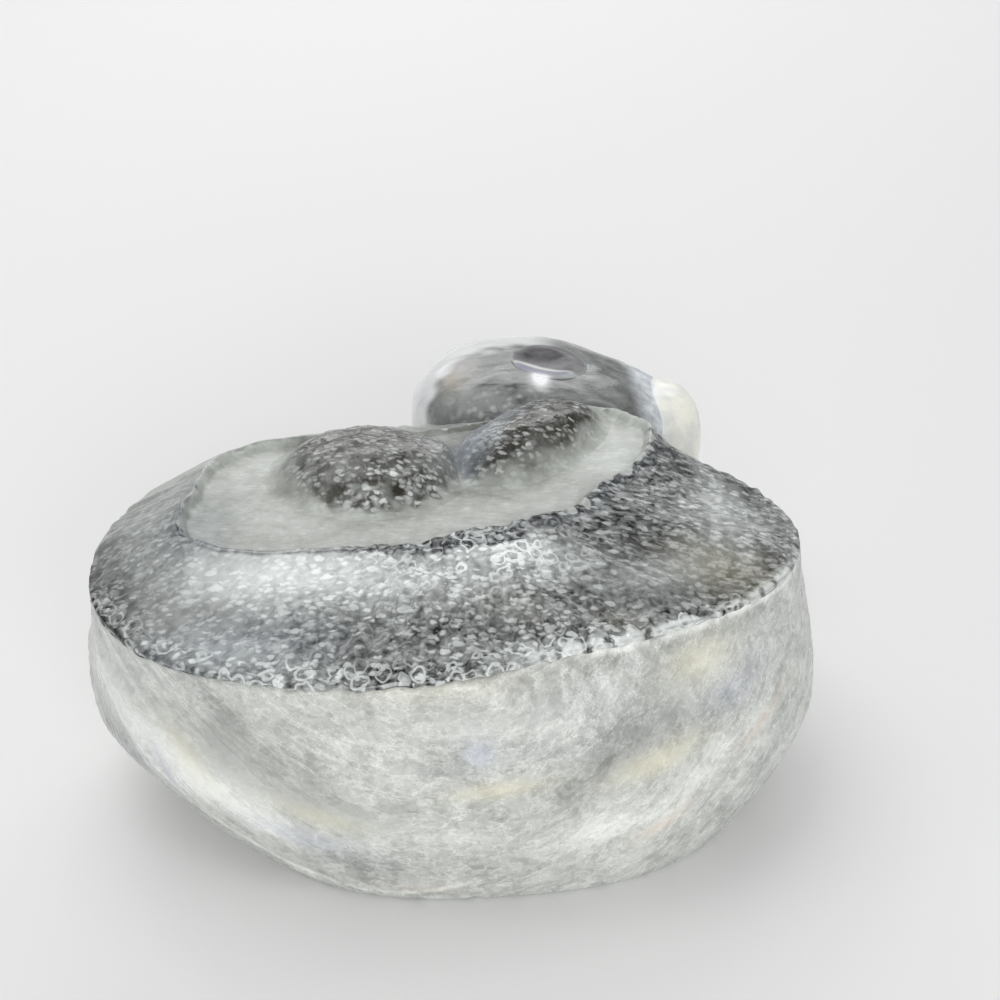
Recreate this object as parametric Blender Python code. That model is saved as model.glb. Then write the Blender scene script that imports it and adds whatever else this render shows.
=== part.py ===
"""Chick figurine of clear cast glass, lying on its flat ground base.

The body is a thick oval casting with a rounded wall. A pebbled plumage relief sits on it and rises from the mould
line to a crest. Behind the crest lies a shallow channel round two low domes, the wing and the shoulder. The
egg-shaped head nests against the back of the body, with a round dimple for the eye and a cream beak at its right.

Units are metres and +Z is up. +X runs from the tail to the beak, +Y from the breast to the head. Places are measured
from the middle of the body's widest outline. An empty carries every piece, so that the finished figurine has its
origin in the middle of its footprint on the table.
"""

import math

import bmesh
import bpy
import numpy as np
from mathutils import Matrix, Vector

MM = 0.001

# Fit between pieces
SEAT_GAP = 0.3 * MM

# Body: three outlines, on the table, at the widest place and at the mould line
BELLY_HALF_LENGTH = 42.5 * MM
BELLY_HALF_DEPTH = 27.4 * MM
BELLY_HEIGHT = 13.1 * MM
BASE_X = 4.3 * MM
BASE_Y = -0.5 * MM
BASE_HALF_LENGTH = 30.5 * MM
BASE_HALF_DEPTH = 24.1 * MM
BASE_TURN = math.radians(6.0)
BASE_SQUARENESS = 2.5
BASE_EDGE_HEIGHT = 0.8 * MM
BASE_EDGE_INSET = 0.9 * MM
WALL_ROUNDNESS = 1.25
WALL_STEP_GROWTH = 1.4
RIM_Y = 1.6 * MM
RIM_HALF_LENGTH = 39.9 * MM
RIM_HALF_DEPTH = 27.2 * MM
RIM_HEIGHT = 30.0 * MM
# How far the mould line swells out from a plain oval, at 12 directions from +X anticlockwise
RIM_SWELL = (1.0, 1.005, 1.01, 1.02, 1.03, 1.0, 1.0, 1.08, 1.10, 0.95, 0.85, 0.92)

# Plumage relief: the slope rises from the mould line to the crest, and behind it lies the channel
SLOPE_EDGE = 0.25 * MM
SLOPE_RISE = 5.9 * MM
SLOPE_LAST_STEP = 0.28
# Width of the slope, from the mould line in to the crest, at 16 directions from +X anticlockwise
SLOPE_WIDTHS = np.array(
    (24.6, 18.8, 5.2, 3.4, 9.5, 11.6, 9.5, 8.3, 10.0, 10.9, 18.7, 20.2, 18.1, 17.9, 20.9, 24.4)
) * MM
CREST_LIP = 1.4 * MM
CREST_LIP_DROP_SHARE = 1.0 / 3.0
CHANNEL_DEPTH = 1.0 * MM

# Wing and shoulder: low domes let into the channel floor
DOME_SEAT_DEPTH = 2.0 * MM
WING_X = -9.8 * MM
WING_Y = 8.6 * MM
WING_HALF_LENGTH = 10.2 * MM
WING_HALF_WIDTH = 8.5 * MM
WING_RISE = 4.8 * MM
SHOULDER_X = 9.2 * MM
SHOULDER_Y = 15.4 * MM
SHOULDER_HALF_LENGTH = 11.2 * MM
SHOULDER_HALF_WIDTH = 5.7 * MM
SHOULDER_RISE = 4.5 * MM
SHOULDER_TURN = math.radians(48.0)

# Head: an egg whose far side tapers toward the beak, where its crown droops, slowly at first
HEAD_X = 7.9 * MM
HEAD_HALF_DEPTH = 14.4 * MM
HEAD_NECK_OVERLAP = 3.9 * MM
HEAD_BACK_LENGTH = 14.2 * MM
HEAD_FRONT_LENGTH = 23.6 * MM
HEAD_WAIST_HEIGHT = 26.0 * MM
HEAD_CROWN_RISE = 9.4 * MM
HEAD_GROUND_OFF = 6.0 * MM
HEAD_SQUARENESS = 2.8
HEAD_TAPER = 0.55
HEAD_DROOP = 6.1 * MM
HEAD_TURN = math.radians(11.0)
EGG_FORWARD_POWER = 2.0

# Eye: a round dimple with its own dished lens
EYE_FORWARD = 4.3 * MM
EYE_RADIUS = 5.0 * MM
EYE_THICKNESS = 4.4 * MM
EYE_RING_WIDTH = 0.5 * MM
EYE_DISH_DEPTH = 1.4 * MM

# Beak: a rounded nub at the head's tip, with a narrower root in a socket in the head
BEAK_LENGTH = 6.1 * MM
BEAK_ROOT_DEPTH = 2.5 * MM
BEAK_ROOT_SHARE = 0.8
BEAK_OVERLAP = 4.9 * MM
# How far the beak stands in from the head's turned line, toward the breast
BEAK_STAND_IN = 2.3 * MM
BEAK_HALF_WIDTH = 7.2 * MM
BEAK_WAIST_HEIGHT = 22.5 * MM
BEAK_CROWN_RISE = 8.4 * MM
BEAK_UNDERSIDE_DEPTH = 16.5 * MM
BEAK_SQUARENESS = 2.4

# Shading and mesh density
SHARP_ANGLE = math.radians(40.0)
RING_POINTS = 72
WALL_STEPS = 10
UPPER_WALL_STEPS = 5
SLOPE_STEPS = 7
EGG_SEGMENTS = 48
EGG_RINGS = 28

# Places that follow from the sizes above
PLUMAGE_HEIGHT = RIM_HEIGHT + SEAT_GAP
CREST_HEIGHT = PLUMAGE_HEIGHT + SLOPE_RISE
CHANNEL_HEIGHT = CREST_HEIGHT - CHANNEL_DEPTH
HEAD_Y = RIM_Y + RIM_HALF_DEPTH + HEAD_HALF_DEPTH - HEAD_NECK_OVERLAP
HEAD_HEIGHT = HEAD_WAIST_HEIGHT + HEAD_CROWN_RISE
HEAD_UNDERSIDE_DEPTH = HEAD_WAIST_HEIGHT + HEAD_GROUND_OFF
EYE_X = HEAD_X + EYE_FORWARD
EYE_FLOOR_HEIGHT = HEAD_HEIGHT - EYE_THICKNESS
BEAK_LINE_X = HEAD_X + HEAD_FRONT_LENGTH - BEAK_OVERLAP
BEAK_Y = HEAD_Y + (BEAK_LINE_X - HEAD_X) * math.tan(HEAD_TURN) - BEAK_STAND_IN
FOOTPRINT_MIDDLE_Y = (HEAD_Y + HEAD_HALF_DEPTH - BELLY_HALF_DEPTH) / 2.0
FAR = 2.0 * (BELLY_HALF_LENGTH + HEAD_FRONT_LENGTH)
POLE_RADIUS = 1e-6

# Colours
SATIN = (0.62, 0.65, 0.63)
PEBBLED = (0.24, 0.26, 0.26)
DIMPLE = (0.34, 0.36, 0.37)
CREAM = (0.86, 0.84, 0.74)


def clear_scene():
    """Removes whatever the scene holds."""
    for thing in list(bpy.data.objects):
        bpy.data.objects.remove(thing, do_unlink=True)


def new_collection(name):
    """A collection linked to the scene."""
    collection = bpy.data.collections.new(name)
    bpy.context.scene.collection.children.link(collection)
    return collection


def add_origin(collection):
    """The empty that carries every piece, with the footprint's middle at the world's origin."""
    origin = bpy.data.objects.new("figurine_origin", None)
    origin.location.y = -FOOTPRINT_MIDDLE_Y
    collection.objects.link(origin)
    return origin


def add_piece(name, form, collection, origin):
    """Turns a bmesh into a smooth shaded object, carried by the figurine's origin."""
    bmesh.ops.recalc_face_normals(form, faces=form.faces)
    mesh = bpy.data.meshes.new(name)
    form.to_mesh(mesh)
    form.free()
    mesh.shade_smooth()
    mesh.set_sharp_from_angle(angle=SHARP_ANGLE)
    piece = bpy.data.objects.new(name, mesh)
    collection.objects.link(piece)
    piece.parent = origin
    return piece


def add_cutter(name, form, collection, origin):
    """A cutter, drawn as wires and never rendered."""
    cutter = add_piece(name, form, collection, origin)
    cutter.hide_render = True
    cutter.display_type = "WIRE"
    return cutter


def apply_glass(piece, name, colour, roughness, transmission):
    """Gives a piece its own Principled glass."""
    material = bpy.data.materials.new(name)
    material.use_nodes = True
    shader = material.node_tree.nodes["Principled BSDF"]
    shader.inputs["Base Color"].default_value = (*colour, 1.0)
    shader.inputs["Roughness"].default_value = roughness
    shader.inputs["Metallic"].default_value = 0.0
    shader.inputs["IOR"].default_value = 1.5
    shader.inputs["Transmission Weight"].default_value = transmission
    piece.data.materials.append(material)


def boolean(piece, cutter, operation="DIFFERENCE"):
    """Cuts the piece with the cutter, or keeps what the two share."""
    modifier = piece.modifiers.new(operation.lower() + "_" + cutter.name, "BOOLEAN")
    modifier.object = cutter
    modifier.operation = operation
    modifier.solver = "EXACT"


def around(values):
    """Values at even directions, spread smoothly over the ring's points by their Fourier series."""
    count = len(values)
    terms = np.fft.rfft(values) / count
    order = np.arange(len(terms))
    weight = np.where((order == 0) | (order * 2 == count), 1.0, 2.0)
    waves = np.exp(1j * np.outer(ring_directions(), order))
    return (waves * (terms * weight)).real.sum(axis=1)


def ring_directions():
    """Directions of a ring's points, from +X anticlockwise."""
    return np.linspace(0.0, 2.0 * math.pi, RING_POINTS, endpoint=False)


def oval(half_length, half_depth, x=0.0, y=0.0, turn=0.0, squareness=2.0, swell=1.0):
    """Plan outline of an oval, drawn so that its points keep their directions when it is turned."""
    directions = ring_directions() - turn
    reach = np.abs(np.cos(directions)) ** squareness + np.abs(np.sin(directions)) ** squareness
    spread = swell * reach ** (-1.0 / squareness)
    along = half_length * np.cos(directions) * spread
    across = half_depth * np.sin(directions) * spread
    outline_x = x + along * math.cos(turn) - across * math.sin(turn)
    outline_y = y + along * math.sin(turn) + across * math.cos(turn)
    return np.column_stack((outline_x, outline_y))


def base_outline(grow):
    """Outline of the flat base."""
    return oval(BASE_HALF_LENGTH + grow, BASE_HALF_DEPTH + grow, BASE_X, BASE_Y, BASE_TURN, BASE_SQUARENESS)


def belly_outline(grow):
    """Outline of the wall where it is widest."""
    return oval(BELLY_HALF_LENGTH + grow, BELLY_HALF_DEPTH + grow)


def rim_outline(grow):
    """Outline of the mould line."""
    return oval(RIM_HALF_LENGTH + grow, RIM_HALF_DEPTH + grow, y=RIM_Y, swell=around(RIM_SWELL))


def crest_outline(grow):
    """Outline of the crest: the mould line moved in by the width of the slope."""
    rim = rim_outline(grow)
    inward = np.array((0.0, RIM_Y)) - rim
    inward /= np.linalg.norm(inward, axis=1)[:, None]
    return rim + inward * around(SLOPE_WIDTHS)[:, None]


def at_height(outline, height):
    """A plan outline as a ring of points at one height."""
    return np.column_stack((outline, np.full(len(outline), height)))


def wall_rings(grow, bottom=0.0):
    """Rings of the body's wall, from the base's ground edge over the belly to the mould line."""
    base, belly, rim = base_outline(grow), belly_outline(grow), rim_outline(grow)
    rings = [at_height(base_outline(grow - BASE_EDGE_INSET), bottom)]
    for step in range(WALL_STEPS + 1):
        share = (step / WALL_STEPS) ** WALL_STEP_GROWTH
        bulge = (1.0 - (1.0 - share) ** WALL_ROUNDNESS) ** (1.0 / WALL_ROUNDNESS)
        height = BASE_EDGE_HEIGHT + (BELLY_HEIGHT - BASE_EDGE_HEIGHT) * share
        rings.append(at_height(base + (belly - base) * bulge, height))
    for step in range(1, UPPER_WALL_STEPS + 1):
        share = step / UPPER_WALL_STEPS
        height = BELLY_HEIGHT + (RIM_HEIGHT - BELLY_HEIGHT) * share
        rings.append(at_height(belly + (rim - belly) * share**2, height))
    return rings


def slope_rings(grow):
    """Rings of the plumage's slope: a short upright edge, a rounded rise and a steeper last step up to the crest."""
    rim, crest = rim_outline(grow), crest_outline(grow)
    rings = [at_height(rim, PLUMAGE_HEIGHT)]
    for step in range(SLOPE_STEPS + 1):
        share = step / SLOPE_STEPS
        climb = (1.0 - SLOPE_LAST_STEP) * math.sin(share * math.pi / 2.0) + SLOPE_LAST_STEP * share**3
        height = PLUMAGE_HEIGHT + SLOPE_EDGE + (SLOPE_RISE - SLOPE_EDGE) * climb + grow
        rings.append(at_height(rim + (crest - rim) * share, height))
    return rings


def channel_rings():
    """Rings from the crest down its inner lip to the channel floor."""
    crest = crest_outline(0.0)
    middle = crest.mean(axis=0)
    inward = (middle - crest) / np.linalg.norm(middle - crest, axis=1)[:, None]
    lip_height = CREST_HEIGHT - CHANNEL_DEPTH * CREST_LIP_DROP_SHARE
    halfway = at_height(crest + inward * CREST_LIP / 2.0, lip_height)
    floor = at_height(crest + inward * CREST_LIP, CHANNEL_HEIGHT)
    return [halfway, floor]


def loft(rings):
    """Closed form through rings of equally many points, with a flat face at each end."""
    form = bmesh.new()
    loops = [[form.verts.new(point) for point in ring] for ring in rings]
    for lower, upper in zip(loops, loops[1:]):
        for here in range(RING_POINTS):
            there = (here + 1) % RING_POINTS
            form.faces.new((lower[here], lower[there], upper[there], upper[here]))
    form.faces.new(loops[0][::-1])
    form.faces.new(loops[-1])
    return form


def egg(place, lengths, half_depth, heights, squareness, taper=0.0, droop=0.0, turn=0.0, root=1.0):
    """A sphere drawn out into an egg.

    place is its middle, lengths its reach to -X and +X, and heights its reach down and up. A squareness over 2 fills
    its shoulders out. Taper narrows the +Y side of its +X end, and droop lowers that end. Root is the share to which
    the section of its -X half shrinks.
    """
    form = bmesh.new()
    bmesh.ops.create_uvsphere(form, u_segments=EGG_SEGMENTS, v_segments=EGG_RINGS, radius=1.0)
    for vertex in form.verts:
        x, y, z = vertex.co
        radius = math.hypot(x, y)
        spread = 0.0
        if radius > POLE_RADIUS:
            spread = (1.0 - abs(z) ** squareness) ** (1.0 / squareness) / radius
        x, y = x * spread, y * spread
        forward = max(x, 0.0) ** EGG_FORWARD_POWER
        section = 1.0 if x > -POLE_RADIUS else root
        vertex.co.x = x * (lengths[1] if x > 0.0 else lengths[0])
        vertex.co.y = y * section * half_depth * (1.0 - taper * forward if y > 0.0 else 1.0)
        vertex.co.z = z * section * (heights[1] if z > 0.0 else heights[0]) - droop * forward * max(z, 0.0)
    placing = Matrix.Translation(place) @ Matrix.Rotation(turn, 4, "Z")
    bmesh.ops.transform(form, matrix=placing, verts=form.verts)
    return form


def dome(placing, half_length, half_width, rise):
    """A low oval dome on the channel floor, with a plug below it that fills its seat."""
    form = bmesh.new()
    bmesh.ops.create_uvsphere(form, u_segments=EGG_SEGMENTS, v_segments=EGG_RINGS, radius=1.0)
    for vertex in form.verts:
        vertex.co.x *= half_length
        vertex.co.y *= half_width
        if vertex.co.z > -POLE_RADIUS:
            vertex.co.z *= rise
        else:
            vertex.co.z = -DOME_SEAT_DEPTH
    bmesh.ops.transform(form, matrix=placing, verts=form.verts)
    return form


def dome_seat(placing, half_length, half_width, rise):
    """The straight oval pocket for a dome's plug, with the gap all round."""
    form = cylinder(0.0, 0.0, 1.0, -DOME_SEAT_DEPTH - SEAT_GAP, rise)
    for vertex in form.verts:
        vertex.co.x *= half_length + SEAT_GAP
        vertex.co.y *= half_width + SEAT_GAP
    bmesh.ops.transform(form, matrix=placing, verts=form.verts)
    return form


def wing_sizes():
    """Place and sizes that the wing shares with its seat."""
    placing = Matrix.Translation((WING_X, WING_Y, CHANNEL_HEIGHT))
    return placing, WING_HALF_LENGTH, WING_HALF_WIDTH, WING_RISE


def shoulder_sizes():
    """Place and sizes that the shoulder shares with its seat."""
    placing = Matrix.Translation((SHOULDER_X, SHOULDER_Y, CHANNEL_HEIGHT)) @ Matrix.Rotation(SHOULDER_TURN, 4, "Z")
    return placing, SHOULDER_HALF_LENGTH, SHOULDER_HALF_WIDTH, SHOULDER_RISE


def head_egg():
    """The head's whole form, before it is cut to its neighbours."""
    return egg(
        place=(HEAD_X, HEAD_Y, HEAD_WAIST_HEIGHT),
        lengths=(HEAD_BACK_LENGTH, HEAD_FRONT_LENGTH),
        half_depth=HEAD_HALF_DEPTH,
        heights=(HEAD_UNDERSIDE_DEPTH, HEAD_CROWN_RISE),
        squareness=HEAD_SQUARENESS,
        taper=HEAD_TAPER,
        droop=HEAD_DROOP,
        turn=HEAD_TURN,
    )


def beak_egg(grow):
    """The beak's form with its root, grown for the socket in the head."""
    return egg(
        place=(BEAK_LINE_X + SEAT_GAP, BEAK_Y, BEAK_WAIST_HEIGHT),
        lengths=(BEAK_ROOT_DEPTH + grow, BEAK_LENGTH + grow),
        half_depth=BEAK_HALF_WIDTH + grow,
        heights=(BEAK_UNDERSIDE_DEPTH + grow, BEAK_CROWN_RISE + grow),
        squareness=BEAK_SQUARENESS,
        root=BEAK_ROOT_SHARE,
    )


def cylinder(x, y, radius, bottom, top):
    """An upright cylinder between two heights."""
    form = bmesh.new()
    bmesh.ops.create_cone(
        form,
        cap_ends=True,
        segments=EGG_SEGMENTS,
        radius1=radius,
        radius2=radius,
        depth=top - bottom,
        matrix=Matrix.Translation((x, y, (top + bottom) / 2.0)),
    )
    return form


def box(low, high):
    """An upright box between two corners."""
    form = bmesh.new()
    low, high = Vector(low), Vector(high)
    placing = Matrix.Translation((low + high) / 2.0) @ Matrix.Diagonal((*(high - low), 1.0))
    bmesh.ops.create_cube(form, size=1.0, matrix=placing)
    return form


def dish_ball():
    """The ball that hollows the eye's lens: its cap has the dish's radius and depth."""
    dish_radius = EYE_RADIUS - EYE_RING_WIDTH
    ball_radius = (dish_radius**2 + EYE_DISH_DEPTH**2) / (2.0 * EYE_DISH_DEPTH)
    middle = Matrix.Translation((EYE_X, HEAD_Y, HEAD_HEIGHT - EYE_DISH_DEPTH + ball_radius))
    form = bmesh.new()
    bmesh.ops.create_uvsphere(
        form, u_segments=EGG_SEGMENTS, v_segments=EGG_RINGS, radius=ball_radius, matrix=middle
    )
    return form


def build():
    """Makes every piece and seats it."""
    clear_scene()
    figurine = new_collection("chick_figurine")
    cutters = new_collection("cutters")
    origin = add_origin(figurine)

    wing_seat = add_cutter("wing_seat", dome_seat(*wing_sizes()), cutters, origin)
    shoulder_seat = add_cutter("shoulder_seat", dome_seat(*shoulder_sizes()), cutters, origin)
    body_room = loft(wall_rings(SEAT_GAP, bottom=-SEAT_GAP) + slope_rings(SEAT_GAP)[1:])
    body_clearance = add_cutter("body_clearance", body_room, cutters, origin)
    table = add_cutter("table", box((-FAR, -FAR, -FAR), (FAR, FAR, 0.0)), cutters, origin)
    beak_side = add_cutter("beak_side", box((BEAK_LINE_X, -FAR, -FAR), (FAR, FAR, FAR)), cutters, origin)
    beak_socket = add_cutter("beak_socket", beak_egg(SEAT_GAP), cutters, origin)
    above_head = HEAD_HEIGHT + EYE_RADIUS
    eye_pocket = cylinder(EYE_X, HEAD_Y, EYE_RADIUS + SEAT_GAP, EYE_FLOOR_HEIGHT - SEAT_GAP, above_head)
    eye_seat = add_cutter("eye_seat", eye_pocket, cutters, origin)
    head_form = add_cutter("head_form", head_egg(), cutters, origin)
    eye_dish = add_cutter("eye_dish", dish_ball(), cutters, origin)

    body = add_piece("body", loft(wall_rings(0.0)), figurine, origin)
    apply_glass(body, "satin_glass", SATIN, roughness=0.35, transmission=0.6)

    plumage = add_piece("plumage", loft(slope_rings(0.0) + channel_rings()), figurine, origin)
    apply_glass(plumage, "pebbled_glass", PEBBLED, roughness=0.15, transmission=0.7)
    boolean(plumage, wing_seat)
    boolean(plumage, shoulder_seat)

    wing = add_piece("wing", dome(*wing_sizes()), figurine, origin)
    apply_glass(wing, "wing_glass", PEBBLED, roughness=0.15, transmission=0.7)

    shoulder = add_piece("shoulder", dome(*shoulder_sizes()), figurine, origin)
    apply_glass(shoulder, "shoulder_glass", PEBBLED, roughness=0.15, transmission=0.7)

    head = add_piece("head", head_egg(), figurine, origin)
    apply_glass(head, "clear_glass", SATIN, roughness=0.08, transmission=0.8)
    boolean(head, table)
    boolean(head, body_clearance)
    boolean(head, beak_side)
    boolean(head, beak_socket)
    boolean(head, eye_seat)

    eye_blank = cylinder(EYE_X, HEAD_Y, EYE_RADIUS, EYE_FLOOR_HEIGHT, above_head)
    eye = add_piece("eye", eye_blank, figurine, origin)
    apply_glass(eye, "dimple_glass", DIMPLE, roughness=0.05, transmission=0.8)
    boolean(eye, head_form, "INTERSECT")
    boolean(eye, eye_dish)

    beak = add_piece("beak", beak_egg(0.0), figurine, origin)
    apply_glass(beak, "cream_glass", CREAM, roughness=0.3, transmission=0.1)
    boolean(beak, body_clearance)


build()
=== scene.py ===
"""Chick figurine of clear cast glass: satin wall, pebbled plumage, two domes, clear head with a dimple, cream beak.

Sizes are in millimetres until a mesh is made. Places are measured from the middle of the belly's oval, X to the right,
Y away from the camera and Z up. Every surface is a grid whose rows run up and inward and whose columns run
anticlockwise. It carries marks, values at its points that its glass reads as tones and tints.
"""

import math

import bpy
import numpy as np
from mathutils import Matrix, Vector


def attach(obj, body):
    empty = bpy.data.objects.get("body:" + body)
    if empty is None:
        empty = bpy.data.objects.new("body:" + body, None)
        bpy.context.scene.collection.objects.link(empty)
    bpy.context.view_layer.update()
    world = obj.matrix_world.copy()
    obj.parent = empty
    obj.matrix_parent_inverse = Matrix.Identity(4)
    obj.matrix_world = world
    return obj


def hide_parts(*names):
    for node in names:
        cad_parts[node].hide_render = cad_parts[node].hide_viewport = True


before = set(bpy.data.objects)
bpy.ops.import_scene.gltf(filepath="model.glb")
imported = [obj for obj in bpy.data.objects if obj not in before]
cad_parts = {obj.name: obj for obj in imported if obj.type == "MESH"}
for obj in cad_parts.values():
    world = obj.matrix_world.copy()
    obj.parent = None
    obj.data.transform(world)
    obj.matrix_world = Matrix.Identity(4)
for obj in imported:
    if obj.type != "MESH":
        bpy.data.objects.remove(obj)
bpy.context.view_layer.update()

MM = 0.001
TURN = 2.0 * math.pi
BELLY_MIDDLE_Y = -13.15
SHARP_ANGLE = math.radians(80.0)
FRONT_LEAN = 0.3

# Body: belly, ground base and mould line
BELLY_HALF_LENGTH = 42.5
BELLY_HALF_DEPTH = 27.4
BELLY_HEIGHT = 13.1
BASE_PLACE = (4.3, -0.5)
BASE_HALF_LENGTH = 30.5
BASE_HALF_DEPTH = 24.1
BASE_TURN = math.radians(6.0)
BASE_SQUARENESS = 2.5
BASE_EDGE_HEIGHT = 0.8
BASE_EDGE_INSET = 0.9
WALL_ROUNDNESS = 1.25
RIM_MIDDLE = np.array((0.0, 1.6))
RIM_HALF_LENGTH = 39.9
RIM_HALF_DEPTH = 27.2
RIM_HEIGHT = 30.0
RIM_SWELL = (1.0, 1.005, 1.01, 1.02, 1.03, 1.0, 1.0, 1.08, 1.10, 0.95, 0.85, 0.92)
RIM_LIP = 0.2
WALL_COLUMNS = 760
WALL_ROWS = (5, 42, 46)
WALL_BEND = 0.02
WALL_FLOW_STRETCH = 0.3
WALL_UPRIGHT_SHARE = 0.3

# Plumage: slope, crest and channel
SLOPE_WIDTH = (24.6, 18.8, 5.2, 3.4, 9.5, 11.6, 9.5, 8.3, 10.0, 10.9, 18.7, 20.2, 18.1, 17.9, 20.9, 24.4)
SLOPE_EDGE = 0.55
SLOPE_OVERHANG = 0.22
SLOPE_LAST_STEP = 0.28
CREST_HEIGHT = 36.2
CREST_BACK_DROP = 0.55
CREST_LIP = 1.4
CHANNEL_DEPTH = 1.0
CHANNEL_HEIGHT = CREST_HEIGHT - CHANNEL_DEPTH
SADDLE = (0.6, 11.5, 3.2, 4.5)
SADDLE_RISE = 1.2
PLUMAGE_COLUMNS = 780
SLOPE_ROWS, LIP_ROWS, CHANNEL_ROWS = 92, 8, 28

# Directions of the slope's regions: degrees, and the cosines at which each begins and is full
TO_RIGHT = (8.0, 0.4, 0.85)
TO_LEFT = (185.0, 0.5, 0.9)
TONE_TO_RIGHT = (8.0, 0.45, 0.85)
TONE_TO_LEFT = (178.0, 0.55, 0.92)

# Domes: place, half length, half width, rise and turn, with the foot's and the ball's edge as shares of the reach
WING = (-9.8, 8.6, 10.2, 8.5, 4.8, 0.0)
SHOULDER = (9.2, 15.4, 11.2, 5.7, 4.5, math.radians(48.0))
DOME_FOOT = 1.22
DOME_EDGE = 0.95
DOME_FOOT_SINK = 0.16
DOME_PLUG = 2.0
DOME_PLUG_REACH = 0.9
DOME_ROWS = (20, 74)
DOME_COLUMNS = 340
DOME_LEAN = 0.2

# Head, with the eye's dimple
HEAD_PLACE = (7.9, 39.3)
HEAD_LENGTHS = (14.2, 23.6)
HEAD_HALF_DEPTH = 14.4
HEAD_WAIST = 26.0
HEAD_CROWN = 9.4
HEAD_UNDERSIDE = 32.0
HEAD_SQUARENESS = 2.8
HEAD_TAPER = 0.55
HEAD_DROOP = 6.1
HEAD_TURN = math.radians(11.0)
HEAD_TIP_SHARE = 0.5
HEAD_FARTHEST = 40.0
HEAD_ROWS = (120, 70)
HEAD_COLUMNS = 360
SIDE_GAP = 0.15
EYE_PLACE = (12.2, 39.3)
EYE_RADIUS = 5.0
EYE_FLOOR = 31.0
EYE_DISH_RADIUS = 4.5
EYE_DISH_DEPTH = 1.4
EYE_SOFTNESS = 0.45
EYE_ROWS = 50
EYE_COLUMNS = 200

# Beak
BEAK_LINE = 26.6
BEAK_PLACE = (26.9, 40.635)
BEAK_LENGTH = 6.1
BEAK_ROOT_DEPTH = 2.5
BEAK_ROOT_SHARE = 0.8
BEAK_HALF_WIDTH = 7.2
BEAK_WAIST = 22.5
BEAK_CROWN = 8.4
BEAK_UNDERSIDE = 16.5
BEAK_SQUARENESS = 2.4
BEAK_ROWS = 92
BEAK_COLUMNS = 200

# Slow waves of the cast glass: height, length and seed of each
WALL_WAVES = ((0.17, 14.0, 11), (0.02, 1.8, 13))
WALL_FLOW_WAVES = ((0.05, 2.6, 12),)
SLOPE_WAVES = ((0.04, 2.6, 27), (0.12, 9.0, 29))
HEAD_WAVES = ((0.06, 9.0, 41), (0.02, 3.0, 42))
BEAK_WAVES = ((0.07, 6.0, 51), (0.015, 1.6, 52))

# Soft patches: strength, place, half lengths and a tilt in degrees. The wall's lie in X and Z.
WALL_TONE = 0.535
WALL_CLOUDS = (
    (-0.03, 0.0, 20.0, 9.0, 5.0),
    (0.06, -6.0, 19.0, 7.0, 3.0),
    (0.23, 16.0, 10.2, 5.0, 2.6, 10.0),
    (0.15, 26.5, 14.0, 7.0, 2.2, 42.0),
    (0.08, 4.0, 24.5, 7.0, 2.2),
    (0.06, 29.0, 25.0, 5.0, 3.0),
    (0.07, -3.0, 11.0, 9.0, 2.5),
    (-0.08, -23.5, 24.0, 2.4, 4.5, -10.0),
    (-0.04, -15.0, 18.6, 8.5, 2.4, -8.0),
    (-0.13, 16.5, 20.0, 9.0, 2.8, 38.0),
    (-0.12, 28.5, 22.0, 6.5, 2.4, 20.0),
    (-0.12, -12.0, 6.6, 8.0, 2.0, -8.0),
    (-0.1, -36.0, 13.0, 2.6, 5.0, 25.0),
)
WALL_TINTS = {
    "cream": (
        (1.0, 5.5, 17.6, 5.0, 1.0, 5.0),
        (1.0, 22.5, 18.2, 5.0, 1.5, 12.0),
        (0.8, 27.0, 27.0, 3.5, 2.0),
        (0.7, -13.5, 13.2, 5.0, 1.3, -10.0),
        (0.7, -28.0, 18.0, 1.6, 4.0, 30.0),
        (0.4, 0.0, 29.0, 10.0, 1.2),
    ),
    "violet": (
        (1.2, 3.6, 21.9, 1.5, 1.4),
        (0.8, -31.0, 14.5, 0.9, 3.6, 25.0),
        (0.7, -16.0, 9.5, 6.0, 1.4, -12.0),
        (0.5, 31.0, 23.0, 4.0, 2.0, 20.0),
        (0.4, -35.0, 12.0, 3.0, 4.0, 25.0),
    ),
    "rose": (
        (1.0, 34.5, 18.0, 3.4, 0.8, 35.0),
        (1.0, 23.5, 9.4, 3.6, 1.1, 30.0),
        (0.5, -3.0, 2.6, 5.0, 0.8),
    ),
}
WALL_QUIET = (
    (1.0, -24.0, 20.5, 4.5, 4.5),
    (1.0, -14.0, 14.5, 8.0, 3.0, -12.0),
    (0.6, 20.0, 20.0, 12.0, 3.0, 35.0),
    (0.4, 6.0, 26.0, 12.0, 2.0),
)
WALL_CLOUD_STRENGTH = 1.4
CHANNEL_TONE = 0.44
CHANNEL_CONTRAST = 0.07
# Partly painted shade and light of the channel's hollow and the saddle between the domes, partly its own mottling.
CHANNEL_LIGHT_AND_SHADE = (
    (0.08, -22.0, 12.5, 5.0, 4.0),
    (0.16, 19.5, 14.0, 5.5, 6.0),
    (-0.22, 1.2, 11.0, 3.6, 6.0),
    (-0.2, 2.0, 18.5, 8.0, 3.6),
    (-0.14, -27.0, -1.0, 3.4, 5.0),
    (-0.05, 0.0, 3.0, 6.0, 2.0),
)
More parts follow.
